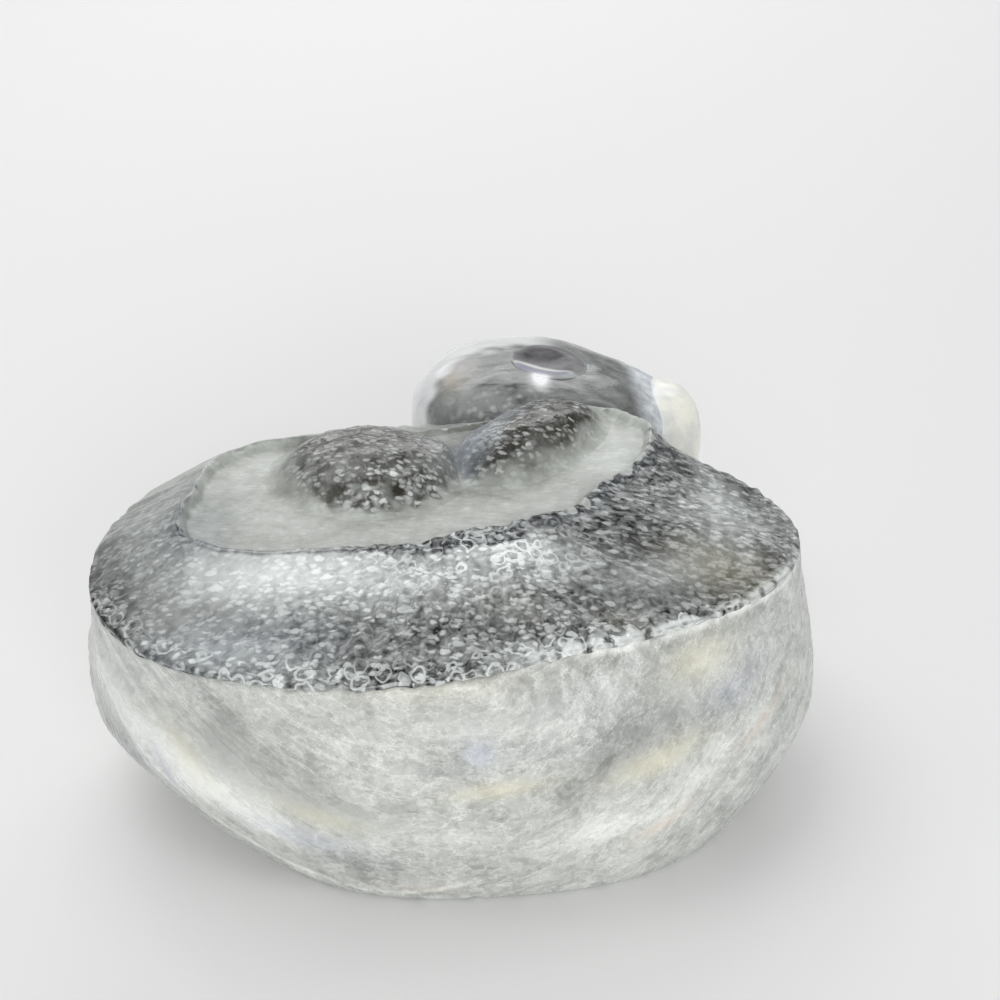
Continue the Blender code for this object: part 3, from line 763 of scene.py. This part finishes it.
def make_dome(name, dome, seed, stretch, paint):
    """A low oval dome: a flattened half ball whose foot runs out into the channel, over a plug in the plumage.

    Its grains lie on the way down the dome's side, drawn out along it by the stretch.
    """
    place_x, place_y, half_length, half_width, rise, turn = dome
    angle = columns_round(DOME_COLUMNS, DOME_LEAN)
    foot_height = rise * math.sqrt(1.0 - DOME_EDGE**2)
    steepness = rise * DOME_EDGE / math.sqrt(1.0 - DOME_EDGE**2) / foot_height
    flare = np.linspace(DOME_FOOT, DOME_EDGE, DOME_ROWS[0], endpoint=False)[:, None]
    flare_height = foot_height * np.exp(-(flare - DOME_EDGE) * steepness)
    flare_height -= DOME_FOOT_SINK * smooth(flare, 1.0, DOME_FOOT)
    tilt = np.linspace(math.asin(DOME_EDGE), 0.0, DOME_ROWS[1], endpoint=False)[:, None]
    reach = np.concatenate(([[DOME_PLUG_REACH]], flare, np.sin(tilt)))
    height = np.concatenate(([[-DOME_PLUG]], flare_height, rise * np.cos(tilt)))
    along, across = reach * np.cos(angle), reach * np.sin(angle)
    x, y = turned(half_length * along, half_width * across, (place_x, place_y), turn)
    grid = np.stack((x, y, channel_height(x, y) + height), axis=-1)

    steps = np.linalg.norm(np.diff(grid[1:], axis=0), axis=-1)
    from_top = np.concatenate((steps[:1], steps))[::-1].cumsum(axis=0)[::-1]
    from_top = np.concatenate((from_top[:1], from_top))
    plan = np.stack((from_top * np.cos(angle) / stretch, from_top * np.sin(angle)), axis=-1)
    u, v, push = bent(plan, 2.0, 0.25, (seed + 5, seed + 6))
    fine, fine_pick = grains(u, v, 0.9, seed)
    coarse, coarse_pick = grains(plan[..., 0] + push[1], plan[..., 1] + push[0], 1.4, seed + 1)
    relief = 0.05 * smooth(fine, 0.0, 0.5) * fine_pick + 0.07 * smooth(coarse, 0.1, 0.6) * coarse_pick
    relief = smooth(height, 0.3, 1.8) * (relief + 0.05 * ripples(grid, 2.4, seed + 2))
    relief[0] = 0.0
    grid = grid + grid_normals(grid) * relief[..., None]

    # Painted highlights on the dome's grains.
    grain_and_sparkle = 1.1 * smooth(fine, 0.2, 0.5) * smooth(fine_pick, 0.55, 0.85) - 0.25
    grain_and_sparkle += 0.4 * smooth(coarse, 0.25, 0.5) * smooth(coarse_pick, 0.7, 0.85) + 0.3 * ripples(plan, 3.0, seed + 4)
    tone, contrast, cool, softness = paint(along, across)
    foot = smooth(reach + 0.03 * ripples(plan, 2.2, seed + 7), 0.98 - softness, 1.1)
    none = np.zeros_like(x)
    marks = {
        "grain_and_sparkle": np.clip(grain_and_sparkle, -1.0, 1.6) * (1.0 - foot),
        "tone": tone + (channel_tone(x, y) - tone) * foot,
        "amp": contrast + (CHANNEL_CONTRAST - contrast) * foot,
        "satin": foot,
        "warm": 0.2 * (1.0 - foot) * (1.0 - cool),
        "cool": cool * (1.0 - foot) + patches(x, y, (SADDLE_COOL,)),
        "side": none,
        "bold": none,
    }
    return skin(name, grid, marks, seam_rows=((-1, 1),))


def head_place(along, across, height_unit):
    """Point of the head's egg from its unit coordinates: the far side tapers and the crown droops toward the beak."""
    forward = np.clip(along, 0.0, None) ** 2
    own_x = along * np.where(along > 0.0, HEAD_LENGTHS[1], HEAD_LENGTHS[0])
    own_y = across * HEAD_HALF_DEPTH * np.where(across > 0.0, 1.0 - HEAD_TAPER * forward, 1.0)
    reach = np.where(height_unit > 0.0, HEAD_CROWN - HEAD_DROOP * forward, HEAD_UNDERSIDE)
    return np.stack((*turned(own_x, own_y, HEAD_PLACE, HEAD_TURN), HEAD_WAIST + height_unit * reach), axis=-1)


def head_units(x, y):
    """Unit coordinates of a plan point on the head."""
    own_x, own_y = turned_back(x, y, HEAD_PLACE, HEAD_TURN)
    along = own_x / np.where(own_x > 0.0, HEAD_LENGTHS[1], HEAD_LENGTHS[0])
    forward = np.clip(along, 0.0, None) ** 2
    across = own_y / (HEAD_HALF_DEPTH * np.where(own_y > 0.0, 1.0 - HEAD_TAPER * forward, 1.0))
    return along, across


def crown_point(x, y):
    """Point of the head's crown above a plan point."""
    along, across = head_units(x, y)
    reach = share_of(np.hypot(along, across))
    height = (1.0 - reach**HEAD_SQUARENESS) ** (1.0 / HEAD_SQUARENESS)
    return head_place(along, across, height)


def waist_reach(angle):
    """How far the head's waist is from the eye's middle in each direction, by halving."""
    near, far = np.full(angle.shape, EYE_RADIUS), np.full(angle.shape, HEAD_FARTHEST)
    for _ in range(40):
        middle = (near + far) / 2.0
        along, across = head_units(EYE_PLACE[0] + middle * np.cos(angle), EYE_PLACE[1] + middle * np.sin(angle))
        inside = np.hypot(along, across) < 1.0
        near, far = np.where(inside, middle, near), np.where(inside, far, middle)
    return near


def off_body(grid):
    """Moves points that fall inside the body out to its side, so that the head and the beak nestle against it.

    The body's radius is looked up by height and direction in a coarse grid of its wall and slope, and a point nearer
    to the rim's middle than that is pushed straight out, to a small gap beyond it.
    """
    angle = np.linspace(0.0, TURN, 240, endpoint=False)[None, :]
    share = np.linspace(0.0, 1.0, 8)[1:, None]
    rim, crest = rim_line(angle), crest_line(angle)
    start = RIM_HEIGHT + SLOPE_EDGE
    slope = lift(rim + (crest - rim) * share[..., None], start + (CREST_HEIGHT - start) * slope_climb(share))
    levels = np.concatenate((wall_grid(angle, 2, 8, 8), slope))
    levels[0, :, 2] = -1.0
    heights = levels[..., 2].mean(axis=1)
    side, plan = levels[..., :2] - RIM_MIDDLE, grid[..., :2] - RIM_MIDDLE
    own_bearing, own_radius = np.arctan2(plan[..., 1], plan[..., 0]).reshape(-1), np.hypot(plan[..., 0], plan[..., 1])
    table = []
    for row in side:
        bearing, radius = np.arctan2(row[:, 1], row[:, 0]), np.hypot(row[:, 0], row[:, 1])
        order = np.argsort(bearing)
        table.append(np.interp(own_bearing, bearing[order], radius[order], period=TURN))
    table = np.stack(table)
    height = grid[..., 2].reshape(-1)
    level = np.clip(np.searchsorted(heights, height) - 1, 0, len(heights) - 2)
    pick = np.arange(level.size)
    share = share_of((height - heights[level]) / (heights[level + 1] - heights[level]))
    reach = table[level, pick] * (1.0 - share) + table[level + 1, pick] * share + SIDE_GAP
    reach = reach.reshape(own_radius.shape)
    caught = (own_radius < reach) & (grid[..., 2] <= CREST_HEIGHT)
    factor = np.where(caught, reach / np.maximum(own_radius, 1e-6), 1.0)
    return np.concatenate((plan * factor[..., None] + RIM_MIDDLE, grid[..., 2:]), axis=-1)


def painted_highlight(x, y):
    """A painted highlight: the bright fleck that the dimple throws onto its own near edge."""
    return share_of(patches(x, y, (PAINTED_HIGHLIGHT,)))


def head_marks(grid):
    """Marks of the head: painted light on its left and back edges, and the tints, a dark line of painted shade and
    light lines of its clear middle.
    """
    x, y = grid[..., 0], grid[..., 1]
    # Painted light: a white band along the head's left edge and across its back.
    painted_edge_light = smooth(np.hypot(x - 9.0, y - 31.0) + 0.25 * ripples(grid, 3.0, 44), 11.8, 13.6) * fade(x, 9.0, 15.0)
    painted_edge_light = np.maximum(painted_edge_light, 0.8 * smooth(y, 46.0, 51.0) * (1.0 - 0.5 * smooth(x, 12.0, 22.0)))
    # Painted shade: a thin dark line across the head's clear middle, as a crease would cast.
    crease_shade = bell(y, 33.4 - 0.25 * (x - 2.0), 0.5) * smooth(x, 1.5, 3.0) * fade(x, 7.5, 9.0)
    light_line = bell(y, 31.5 + 0.04 * (x - 10.0), 0.5) * smooth(x, 8.0, 11.0) * fade(x, 20.0, 23.0)
    eye_ring = bell(np.hypot(x - EYE_PLACE[0], y - EYE_PLACE[1]), EYE_RADIUS + 0.9, 0.8) * smooth(x, 14.0, 17.0)
    tone = HEAD_TONE + patches(x, y, HEAD_CLOUDS)
    return {
        "tone": tone + 0.10 * light_line + 0.08 * eye_ring - 0.15 * crease_shade,
        "painted_edge_light": painted_edge_light,
        "tan": patches(x, y, HEAD_TAN),
        "tip": smooth(x + 0.15 * (y - 39.0), 22.0, 25.5),
        "dots": spot(x, y, 5.5, 29.0, 5.5, 3.2) * smooth(-y, -33.0, -31.5),
        # Painted highlight at the dimple's near edge.
        "painted_glint": painted_highlight(x, y),
        "lilac": patches(x, y, HEAD_LILAC) + 0.4 * painted_edge_light * smooth(ripples(grid, 7.0, 43), 0.0, 0.8),
    }


def make_head():
    """The clear egg: rings round the eye out to the waist, then down the sides to the floor.

    What reaches past the beak's line is shortened, so that the head ends inside the beak.
    """
    angle = columns_round(HEAD_COLUMNS)
    share = np.sin(np.linspace(0.0, math.pi / 2.0, HEAD_ROWS[0]))[:, None]
    reach = EYE_RADIUS + (waist_reach(angle) - EYE_RADIUS) * share
    x, y = EYE_PLACE[0] + reach * np.cos(angle), EYE_PLACE[1] + reach * np.sin(angle)
    crown = crown_point(x, y)
    along, across = head_units(x[-1:], y[-1:])
    depth = np.linspace(0.0, HEAD_WAIST / HEAD_UNDERSIDE, HEAD_ROWS[1])[1:, None]
    shrink = (1.0 - depth**HEAD_SQUARENESS) ** (1.0 / HEAD_SQUARENESS)
    sides = head_place(along * shrink, across * shrink, -depth)
    pocket = crown[:1].copy()
    pocket[..., 2] = EYE_FLOOR
    grid = np.concatenate((pocket, crown, sides))
    grid[..., 0] -= (1.0 - HEAD_TIP_SHARE) * np.clip(grid[..., 0] - BEAK_LINE, 0.0, None)
    grid = off_body(grid)
    relief = waves(grid, HEAD_WAVES)
    relief[:2] = 0.0
    grid = grid - grid_normals(grid) * relief[..., None]
    grid[-1, :, 2] = 0.0
    grid = grid[::-1]
    return skin("head", grid, head_marks(grid), seam_rows=((len(grid) - 2, len(grid)),))


def make_eye():
    """The dimple's lens: a dished top inside the ring where it meets the crown, and a plug below.

    The top is the lower of the crown and the dish's ball, with a soft corner where they cross.
    """
    angle = columns_round(EYE_COLUMNS)
    reach = np.linspace(EYE_RADIUS, 0.0, EYE_ROWS, endpoint=False)[:, None]
    x, y = EYE_PLACE[0] + reach * np.cos(angle), EYE_PLACE[1] + reach * np.sin(angle)
    crown = crown_point(x, y)[..., 2]
    ball = (EYE_DISH_RADIUS**2 + EYE_DISH_DEPTH**2) / (2.0 * EYE_DISH_DEPTH)
    dish = HEAD_WAIST + HEAD_CROWN - EYE_DISH_DEPTH + ball - np.sqrt(ball**2 - reach**2)
    gap = share_of(0.5 + 0.5 * (dish - crown) / EYE_SOFTNESS)
    top = dish + (crown - dish) * gap - EYE_SOFTNESS * gap * (1.0 - gap)
    top = np.where(reach > EYE_RADIUS - 1e-6, crown, top)
    plug = np.stack((x[0], y[0], np.full_like(x[0], EYE_FLOOR)), axis=-1)[None]
    grid = np.concatenate((plug, np.stack((x, y, top), axis=-1)))
    over, behind = grid[..., 0] - EYE_PLACE[0], grid[..., 1] - EYE_PLACE[1]
    inside = fade(np.hypot(over, behind), EYE_RADIUS - 0.5, EYE_RADIUS)
    bow = behind + 0.1 + np.where(over > -2.6, 0.085, 0.16) * (over + 2.6) ** 2
    marks = {
        # Painted shade on the dimple's far side, and a painted highlight along a bow across it.
        "bowl_shade": inside * smooth(bow, 0.0, 0.7),
        "arc": inside * bell(bow, 0.0, 0.4) * fade(over, 1.5, 3.5),
        "lilac": inside * fade(bow, -0.7, -0.1) * smooth(behind, -4.4, -2.8),
        # Painted highlight at the dimple's near edge.
        "painted_glint": painted_highlight(grid[..., 0], grid[..., 1]),
    }
    return skin("eye", grid, marks, seam_rows=((-1, 1),))


def make_beak():
    """The cream nub: half an egg at the head's tip, with a narrower root sunk into the head."""
    angle = columns_round(BEAK_COLUMNS)
    tilt = np.linspace(-math.pi / 2.0, math.pi / 2.0, BEAK_ROWS)[1:-1, None]
    unit = np.sin(tilt)
    spread = (1.0 - np.abs(unit) ** BEAK_SQUARENESS) ** (1.0 / BEAK_SQUARENESS)
    along, across = spread * np.cos(angle), spread * np.sin(angle)
    section = BEAK_ROOT_SHARE + (1.0 - BEAK_ROOT_SHARE) * smooth(along * BEAK_ROOT_DEPTH, -2.2, -0.8)
    x = BEAK_PLACE[0] + along * np.where(along > -1e-6, BEAK_LENGTH, BEAK_ROOT_DEPTH)
    y = BEAK_PLACE[1] + across * BEAK_HALF_WIDTH * section
    z = BEAK_WAIST + unit * np.where(unit > 0.0, BEAK_CROWN, BEAK_UNDERSIDE) * section
    grid = off_body(np.stack((x, y, z), axis=-1))
    grid = grid + grid_normals(grid) * waves(grid, BEAK_WAVES)[..., None]
    x, z = grid[..., 0], grid[..., 2]
    return skin("beak", grid, {"tip": smooth(x - BEAK_LINE + 0.3 * (z - 26.0), 0.0, 2.4), "low": fade(z, 8.0, 16.0)})


def connect(tree, socket, value):
    """Gives a socket its number, its colour or a link."""
    if isinstance(value, bpy.types.NodeSocket):
        tree.links.new(value, socket)
    elif socket.type == "RGBA" and len(value) == 3:
        socket.default_value = (*value, 1.0)
    else:
        socket.default_value = value


def add_node(tree, kind, settings=None, inputs=None):
    """Adds a node, with its settings and its inputs."""
    made = tree.nodes.new(kind)
    for name, value in (settings or {}).items():
        setattr(made, name, value)
    for name, value in (inputs or {}).items():
        connect(tree, made.inputs[name], value)
    return made


def glass_material(name, colour, roughness, transmission):
    """A Principled glass and its node tree."""
    material = bpy.data.materials.new(name)
    material.use_nodes = True
    shader = material.node_tree.nodes["Principled BSDF"]
    shader.inputs["Base Color"].default_value = (*colour, 1.0)
    shader.inputs["Roughness"].default_value = roughness
    shader.inputs["IOR"].default_value = 1.5
    shader.inputs["Transmission Weight"].default_value = transmission
    return material, material.node_tree, shader


def own_place(tree):
    """The piece's own coordinates, in metres."""
    return add_node(tree, "ShaderNodeTexCoord").outputs["Object"]


def pattern(tree, scale, detail, stretch=(1.0, 1.0, 1.0), roughness=0.5, place=None):
    """A cloudy pattern of so many clouds to the metre, on the piece's own coordinates or a given place, drawn out."""
    drawn = add_node(tree, "ShaderNodeMapping", inputs={"Vector": place or own_place(tree), "Scale": stretch})
    cloud = {"Vector": drawn.outputs["Vector"], "Scale": scale, "Detail": detail, "Roughness": roughness}
    return add_node(tree, "ShaderNodeTexNoise", inputs=cloud).outputs["Fac"]


def remap(tree, value, low, high, to_low=0.0, to_high=1.0):
    """The value's range from low to high, spread to a new range and kept inside it."""
    ends = {"Value": value, "From Min": low, "From Max": high, "To Min": to_low, "To Max": to_high}
    return add_node(tree, "ShaderNodeMapRange", inputs=ends).outputs["Result"]


def calculate(tree, operation, first, second=0.0):
    """One sum on two values."""
    return add_node(tree, "ShaderNodeMath", {"operation": operation}, {0: first, 1: second}).outputs[0]


def product(tree, first, second):
    """One value times another."""
    return calculate(tree, "MULTIPLY", first, second)


def add_up(tree, start, *parts):
    """The sum of a value and pairs of a value and its weight."""
    total = start
    for value, weight in parts:
        total = calculate(tree, "ADD", total, product(tree, value, weight))
    return total


def signed(tree, value):
    """A cloudy pattern's usual range spread to run from -1 to 1."""
    return remap(tree, value, 0.3, 0.7, -1.0, 1.0)


def distance_from(tree, value, middle):
    """How far a value is from a middle one."""
    return calculate(tree, "ABSOLUTE", calculate(tree, "SUBTRACT", value, middle))


def mark(tree, name):
    """A value that the mesh carries at its points."""
    return add_node(tree, "ShaderNodeAttribute", {"attribute_name": name}).outputs["Fac"]


def mix(tree, factor, first, second):
    """Blends two colours."""
    made = add_node(tree, "ShaderNodeMix", {"data_type": "RGBA"}, {0: factor, 6: first, 7: second})
    return made.outputs[2]


def graded(tree, value, white):
    """The colour of a tone, from black at 0 to that white at 1."""
    return mix(tree, remap(tree, value, 0.0, 1.0), BLACK, white)


def tint(tree, colour, share, weight, other):
    """Blends a colour toward another by a mark of the mesh."""
    return mix(tree, product(tree, mark(tree, share), weight), colour, other)


def finish_glass(tree, shader, colour, height, strength, distance):
    """Gives a glass its colour, and a pattern as fine relief on its normal."""
    relief = add_node(tree, "ShaderNodeBump", inputs={"Height": height, "Strength": strength, "Distance": distance})
    tree.links.new(colour, shader.inputs["Base Color"])
    tree.links.new(relief.outputs["Normal"], shader.inputs["Normal"])


def ridges(tree, value, width):
    """1 along the lines where a cloudy pattern passes its middle value, and 0 away from them."""
    return remap(tree, distance_from(tree, value, 0.5), 0.0, width, 1.0, 0.0)


def veins(tree, field, pace, low, high):
    """Pale lines along the even levels of a cloudy pattern, where a sine of it is near 1."""
    wave = calculate(tree, "SINE", product(tree, field, pace))
    return remap(tree, wave, low, high, -0.5, 1.0)


def wandering(tree, place, scale, reach):
    """Coordinates shifted by a cloudy pattern, so that cells get uneven outlines."""
    cloud = add_node(tree, "ShaderNodeTexNoise", inputs={"Vector": place, "Scale": scale, "Detail": 1.0})
    shift = add_node(
        tree, "ShaderNodeVectorMath", {"operation": "SCALE"}, {"Vector": cloud.outputs["Color"], "Scale": reach}
    )
    moved = add_node(tree, "ShaderNodeVectorMath", {"operation": "ADD"}, {0: place, 1: shift.outputs["Vector"]})
    return moved.outputs["Vector"]


def cells_on(tree, place, scale):
    """Cells of so many to the metre: the distance to a cell's middle, and the cell's own random number."""
    cells = add_node(tree, "ShaderNodeTexVoronoi", inputs={"Vector": place, "Scale": scale})
    return cells.outputs["Distance"], cells.outputs["Color"]


def beads(tree, place, scale, turn, wide, narrow):
    """Painted highlights: crisp pale grains drawn out along one direction, each as pale as its own random number."""
    drawn = {"Vector": place, "Scale": (0.55, 1.05, 0.8), "Rotation": (0.0, 0.0, turn)}
    drawn = add_node(tree, "ShaderNodeMapping", inputs=drawn).outputs["Vector"]
    distance, own = cells_on(tree, drawn, scale)
    own = remap(tree, own, 0.25, 0.75)
    return product(tree, remap(tree, distance, wide, narrow), own)


def rings(tree, place, scale):
    """Painted highlights: pale outlines of large pebbles, each round a cell's middle, with a pale seed in some."""
    distance, own = cells_on(tree, place, scale)
    seed = product(tree, remap(tree, distance, 0.16, 0.08), remap(tree, own, 0.5, 0.7))
    return calculate(tree, "MAXIMUM", remap(tree, distance_from(tree, distance, 0.38), 0.085, 0.035), seed)


def satin_wall_glass():
    """Satin cast glass: pale grey-green, with clouds, brushed strokes and cream, lavender and rose tints."""
    material, tree, shader = glass_material("satin_glass", (0.6, 0.62, 0.59), 0.3, 0.12)
    flowed = add_node(tree, "ShaderNodeCombineXYZ", inputs={"X": mark(tree, "run"), "Z": mark(tree, "flow")})
    flowed = flowed.outputs["Vector"]
    clouds = pattern(tree, 110.0, 3.0, place=flowed)
    brushed = pattern(tree, 420.0, 4.0, roughness=0.6, place=flowed)
    frosted = pattern(tree, 620.0, 4.0, stretch=(1.0, 1.0, 1.3), roughness=0.65)
    stains = pattern(tree, 300.0, 4.0, roughness=0.6)
    grit = pattern(tree, 1500.0, 2.0, roughness=0.6)
    worked = add_up(
        tree,
        product(tree, signed(tree, grit), 0.05),
        (remap(tree, frosted, 0.35, 0.7, -0.4, 1.0), 0.08),
        (remap(tree, stains, 0.35, 0.7, -0.6, 1.0), 0.09),
        (ridges(tree, frosted, 0.02), 0.17),
        (ridges(tree, brushed, 0.03), 0.13),
    )
    value = add_up(
        tree,
        mark(tree, "tone"),
        (signed(tree, clouds), 0.06),
        (signed(tree, brushed), 0.06),
        (product(tree, worked, mark(tree, "lively")), 1.0),
    )
    colour = graded(tree, value, (0.975, 1.0, 0.95))
    colour = tint(tree, colour, "cream", 0.5, (0.88, 0.83, 0.60))
    colour = tint(tree, colour, "violet", 0.4, (0.60, 0.62, 0.80))
    colour = tint(tree, colour, "rose", 0.35, (0.80, 0.62, 0.50))
    tree.links.new(remap(tree, brushed, 0.3, 0.7, 0.22, 0.36), shader.inputs["Roughness"])
    finish_glass(tree, shader, colour, add_up(tree, frosted, (brushed, 0.4), (grit, 0.3)), 0.3, 0.0005)
    return material


def pebble_highlights(tree):
    """Painted highlights of the relief, pale beads and rings, as a value round 0.

    The beads lie one way at the front and the other way at the side. Large ones and rings show where the mesh is
    marked bold.
    """
    place, bold = own_place(tree), mark(tree, "bold")
    uneven = wandering(tree, place, 1300.0, 0.0006)
    front_bead = beads(tree, uneven, 1650.0, math.radians(-40.0), 0.54, 0.28)
    right_bead = beads(tree, uneven, 1300.0, math.radians(40.0), 0.5, 0.3)
    to_right = product(tree, calculate(tree, "SUBTRACT", right_bead, front_bead), mark(tree, "side"))
    bead = calculate(tree, "ADD", front_bead, to_right)
    large = beads(tree, uneven, 950.0, 0.0, 0.4, 0.28)
    large = product(tree, large, remap(tree, bold, 0.0, 0.2, 0.3, 1.0))
    ring = product(tree, rings(tree, wandering(tree, place, 620.0, 0.0013), 470.0), bold)
    figure = calculate(tree, "MAXIMUM", calculate(tree, "MAXIMUM", bead, large), ring)
    grit = signed(tree, pattern(tree, 1500.0, 3.0, roughness=0.65))
    pale = add_up(tree, product(tree, figure, 1.45), (grit, 0.16))
    return calculate(tree, "SUBTRACT", pale, add_up(tree, product(tree, bold, 0.15), (0.42, 1.0)))


def pebbled_glass():
    """Pressed pebble glass: grey, with pale beads and outlines on the relief as painted highlights, and satin in the
    channel.
    """
    material, tree, shader = glass_material("pebbled_glass", GLASS_GREY, 0.2, 0.12)
    satin = mark(tree, "satin")
    pebbles = pebble_highlights(tree)
    worked = product(tree, mark(tree, "amp"), add_up(tree, pebbles, (mark(tree, "grain_and_sparkle"), 0.45)))
    flow = signed(tree, pattern(tree, 170.0, 5.0, stretch=(0.4, 1.4, 1.0), roughness=0.65))
    flow = add_up(tree, flow, (signed(tree, pattern(tree, 520.0, 4.0, roughness=0.65)), 0.9))
    flow = product(tree, flow, satin)
    colour = graded(tree, add_up(tree, mark(tree, "tone"), (worked, 1.0), (flow, 0.115)), (0.955, 1.0, 0.98))
    colour = tint(tree, colour, "satin", 0.14, (0.62, 0.64, 0.44))
    colour = tint(tree, colour, "warm", 0.3, (0.36, 0.31, 0.16))
    colour = tint(tree, colour, "cool", 0.3, (0.28, 0.34, 0.42))
    tree.links.new(remap(tree, satin, 0.0, 1.0, 0.2, 0.34), shader.inputs["Roughness"])
    finish_glass(tree, shader, colour, add_up(tree, pebbles, (flow, 0.6)), 0.12, 0.0003)
    return material


def clear_head_glass():
    """Fire-polished glass, mottled grey in its depth, and painted white where its left and back edges would gather the
    light.
    """
    material, tree, shader = glass_material("clear_glass", GLASS_GREY, 0.2, 0.12)
    clouds = signed(tree, pattern(tree, 190.0, 4.0, stretch=(0.6, 1.0, 1.3), roughness=0.6))
    mottle = signed(tree, pattern(tree, 600.0, 4.0, roughness=0.65))
    distance, _ = cells_on(tree, own_place(tree), 850.0)
    dots = product(tree, remap(tree, distance, 0.45, 0.2), mark(tree, "dots"))
    lines = veins(tree, pattern(tree, 260.0, 2.0, stretch=(0.5, 1.0, 1.0)), 24.0, 0.2, 1.0)
    value = add_up(tree, mark(tree, "tone"), (clouds, 0.07), (mottle, 0.06), (dots, 0.25), (lines, 0.05))
    colour = graded(tree, value, (0.96, 1.0, 0.97))
    colour = tint(tree, colour, "tan", 0.75, (0.30, 0.25, 0.17))
    tip = product(tree, mark(tree, "tip"), remap(tree, mottle, -0.8, 0.8, 0.5, 1.0))
    colour = mix(tree, tip, colour, (0.90, 0.95, 0.99))
    # Painted light: white along the head's left and back edges.
    painted_edge_light = product(tree, mark(tree, "painted_edge_light"), remap(tree, clouds, -1.2, 0.4, 0.75, 1.0))
    colour = mix(tree, painted_edge_light, colour, (0.93, 0.95, 0.93))
    colour = tint(tree, colour, "lilac", 0.4, (0.62, 0.62, 0.74))
    # Painted highlight at the dimple's near edge.
    colour = tint(tree, colour, "painted_glint", 1.0, PAINTED_GLINT_WHITE)
    finish_glass(tree, shader, colour, clouds, 0.1, 0.0006)
    return material


def dimple_glass():
    """Polished dimple: painted shade in its mottled hollow, a painted white highlight bowed across it, and lilac on its
    near side.
    """
    material, tree, shader = glass_material("dimple_glass", (0.3, 0.31, 0.32), 0.3, 0.12)
    shader.inputs["Specular IOR Level"].default_value = 0.25
    mottle = pattern(tree, 420.0, 4.0, stretch=(0.5, 1.0, 1.0), roughness=0.6)
    side = mix(tree, remap(tree, mottle, 0.3, 0.7), (0.12, 0.13, 0.125), (0.33, 0.36, 0.35))
    # Painted shade of the dimple's hollow.
    bowl_shade = mix(tree, remap(tree, mottle, 0.35, 0.65), (0.05, 0.05, 0.055), (0.19, 0.18, 0.19))
    colour = tint(tree, side, "bowl_shade", 1.0, bowl_shade)
    colour = tint(tree, colour, "lilac", 0.9, (0.36, 0.37, 0.47))
    # Painted highlight bowed across the dimple.
    colour = tint(tree, colour, "arc", 0.9, (0.85, 0.87, 0.84))
    # Painted highlight at the dimple's near edge.
    colour = tint(tree, colour, "painted_glint", 1.0, PAINTED_GLINT_WHITE)
    finish_glass(tree, shader, colour, mottle, 0.1, 0.0006)
    return material


def cream_glass():
    """Frosted cream glass, bluish white where it thins toward the head and grey near the floor."""
    material, tree, shader = glass_material("cream_glass", (0.9, 0.9, 0.82), 0.3, 0.05)
    clouds = pattern(tree, 250.0, 4.0, roughness=0.6)
    cream = mix(tree, remap(tree, clouds, 0.4, 0.6), (0.80, 0.81, 0.77), (1.0, 0.99, 0.89))
    colour = mix(tree, mark(tree, "tip"), (0.80, 0.85, 0.89), cream)
    colour = tint(tree, colour, "low", 0.8, (0.45, 0.47, 0.46))
    finish_glass(tree, shader, colour, clouds, 0.2, 0.0005)
    return material


def seam_glass():
    """Where one region of the casting runs into the next, there is no surface at all."""
    material = bpy.data.materials.new("fused_seam")
    material.use_nodes = True
    tree = material.node_tree
    tree.nodes.remove(tree.nodes["Principled BSDF"])
    clear = add_node(tree, "ShaderNodeBsdfTransparent")
    tree.links.new(clear.outputs["BSDF"], tree.nodes["Material Output"].inputs["Surface"])
    return material


def add_floor():
    """Pale paper under the figurine, far wider than the view."""
    bpy.ops.mesh.primitive_plane_add(size=FLOOR_SIZE, location=(0.0, 0.0, 0.0))
    floor = bpy.context.object
    floor.name = "floor"
    material, _, shader = glass_material("paper", PAPER, 0.9, 0.0)
    shader.inputs["Specular IOR Level"].default_value = 0.1
    floor.data.materials.append(material)


def add_softbox(name, place, size, power):
    """A rectangular lamp that looks at the figurine."""
    lamp = bpy.data.lights.new(name, "AREA")
    lamp.shape = "RECTANGLE"
    lamp.size, lamp.size_y = size
    lamp.energy = power
    holder = bpy.data.objects.new(name, lamp)
    bpy.context.scene.collection.objects.link(holder)
    holder.location = place
    holder.rotation_euler = (Vector(LAMP_AIM) - Vector(place)).to_track_quat("-Z", "Y").to_euler()


def add_light():
    """A pale room and three softboxes: a broad one behind, one above and one in front."""
    world = bpy.data.worlds.new("room")
    bpy.context.scene.world = world
    world.use_nodes = True
    background = world.node_tree.nodes["Background"]
    background.inputs["Color"].default_value = ROOM_COLOUR
    background.inputs["Strength"].default_value = ROOM_STRENGTH
    add_softbox("back_softbox", (0.0, 0.55, 0.42), (0.7, 0.35), 1.7)
    add_softbox("top_softbox", (-0.18, 0.1, 0.55), (0.4, 0.4), 1.0)
    add_softbox("front_softbox", (0.1, -0.6, 0.25), (0.4, 0.3), 2.2)


def add_camera():
    """The camera at the photograph's viewing angle."""
    lens = bpy.data.cameras.new("camera")
    lens.sensor_width = CAMERA_SENSOR
    lens.lens = CAMERA_LENS
    lens.clip_start, lens.clip_end = CAMERA_CLIP
    camera = bpy.data.objects.new("camera", lens)
    camera.location = Vector(CAMERA_PLACE) * MM
    camera.rotation_euler = (CAMERA_TILT, 0.0, 0.0)
    bpy.context.scene.collection.objects.link(camera)
    bpy.context.scene.camera = camera


seam = seam_glass()
pebbled = pebbled_glass()
finish_piece(make_body(), "body", satin_wall_glass(), seam)
finish_piece(make_plumage(), "plumage", pebbled, seam)
finish_piece(make_dome("wing", WING, 31, 1.0, wing_paint), "wing", pebbled, seam)
finish_piece(make_dome("shoulder", SHOULDER, 51, 1.6, shoulder_paint), "shoulder", pebbled, seam)
finish_piece(make_head(), "head", clear_head_glass(), seam)
finish_piece(make_eye(), "eye", dimple_glass(), seam)
finish_piece(make_beak(), "beak", cream_glass(), seam)
add_floor()
add_light()
add_camera()
bpy.context.scene.view_settings.view_transform = "Standard"
bpy.context.view_layer.update()
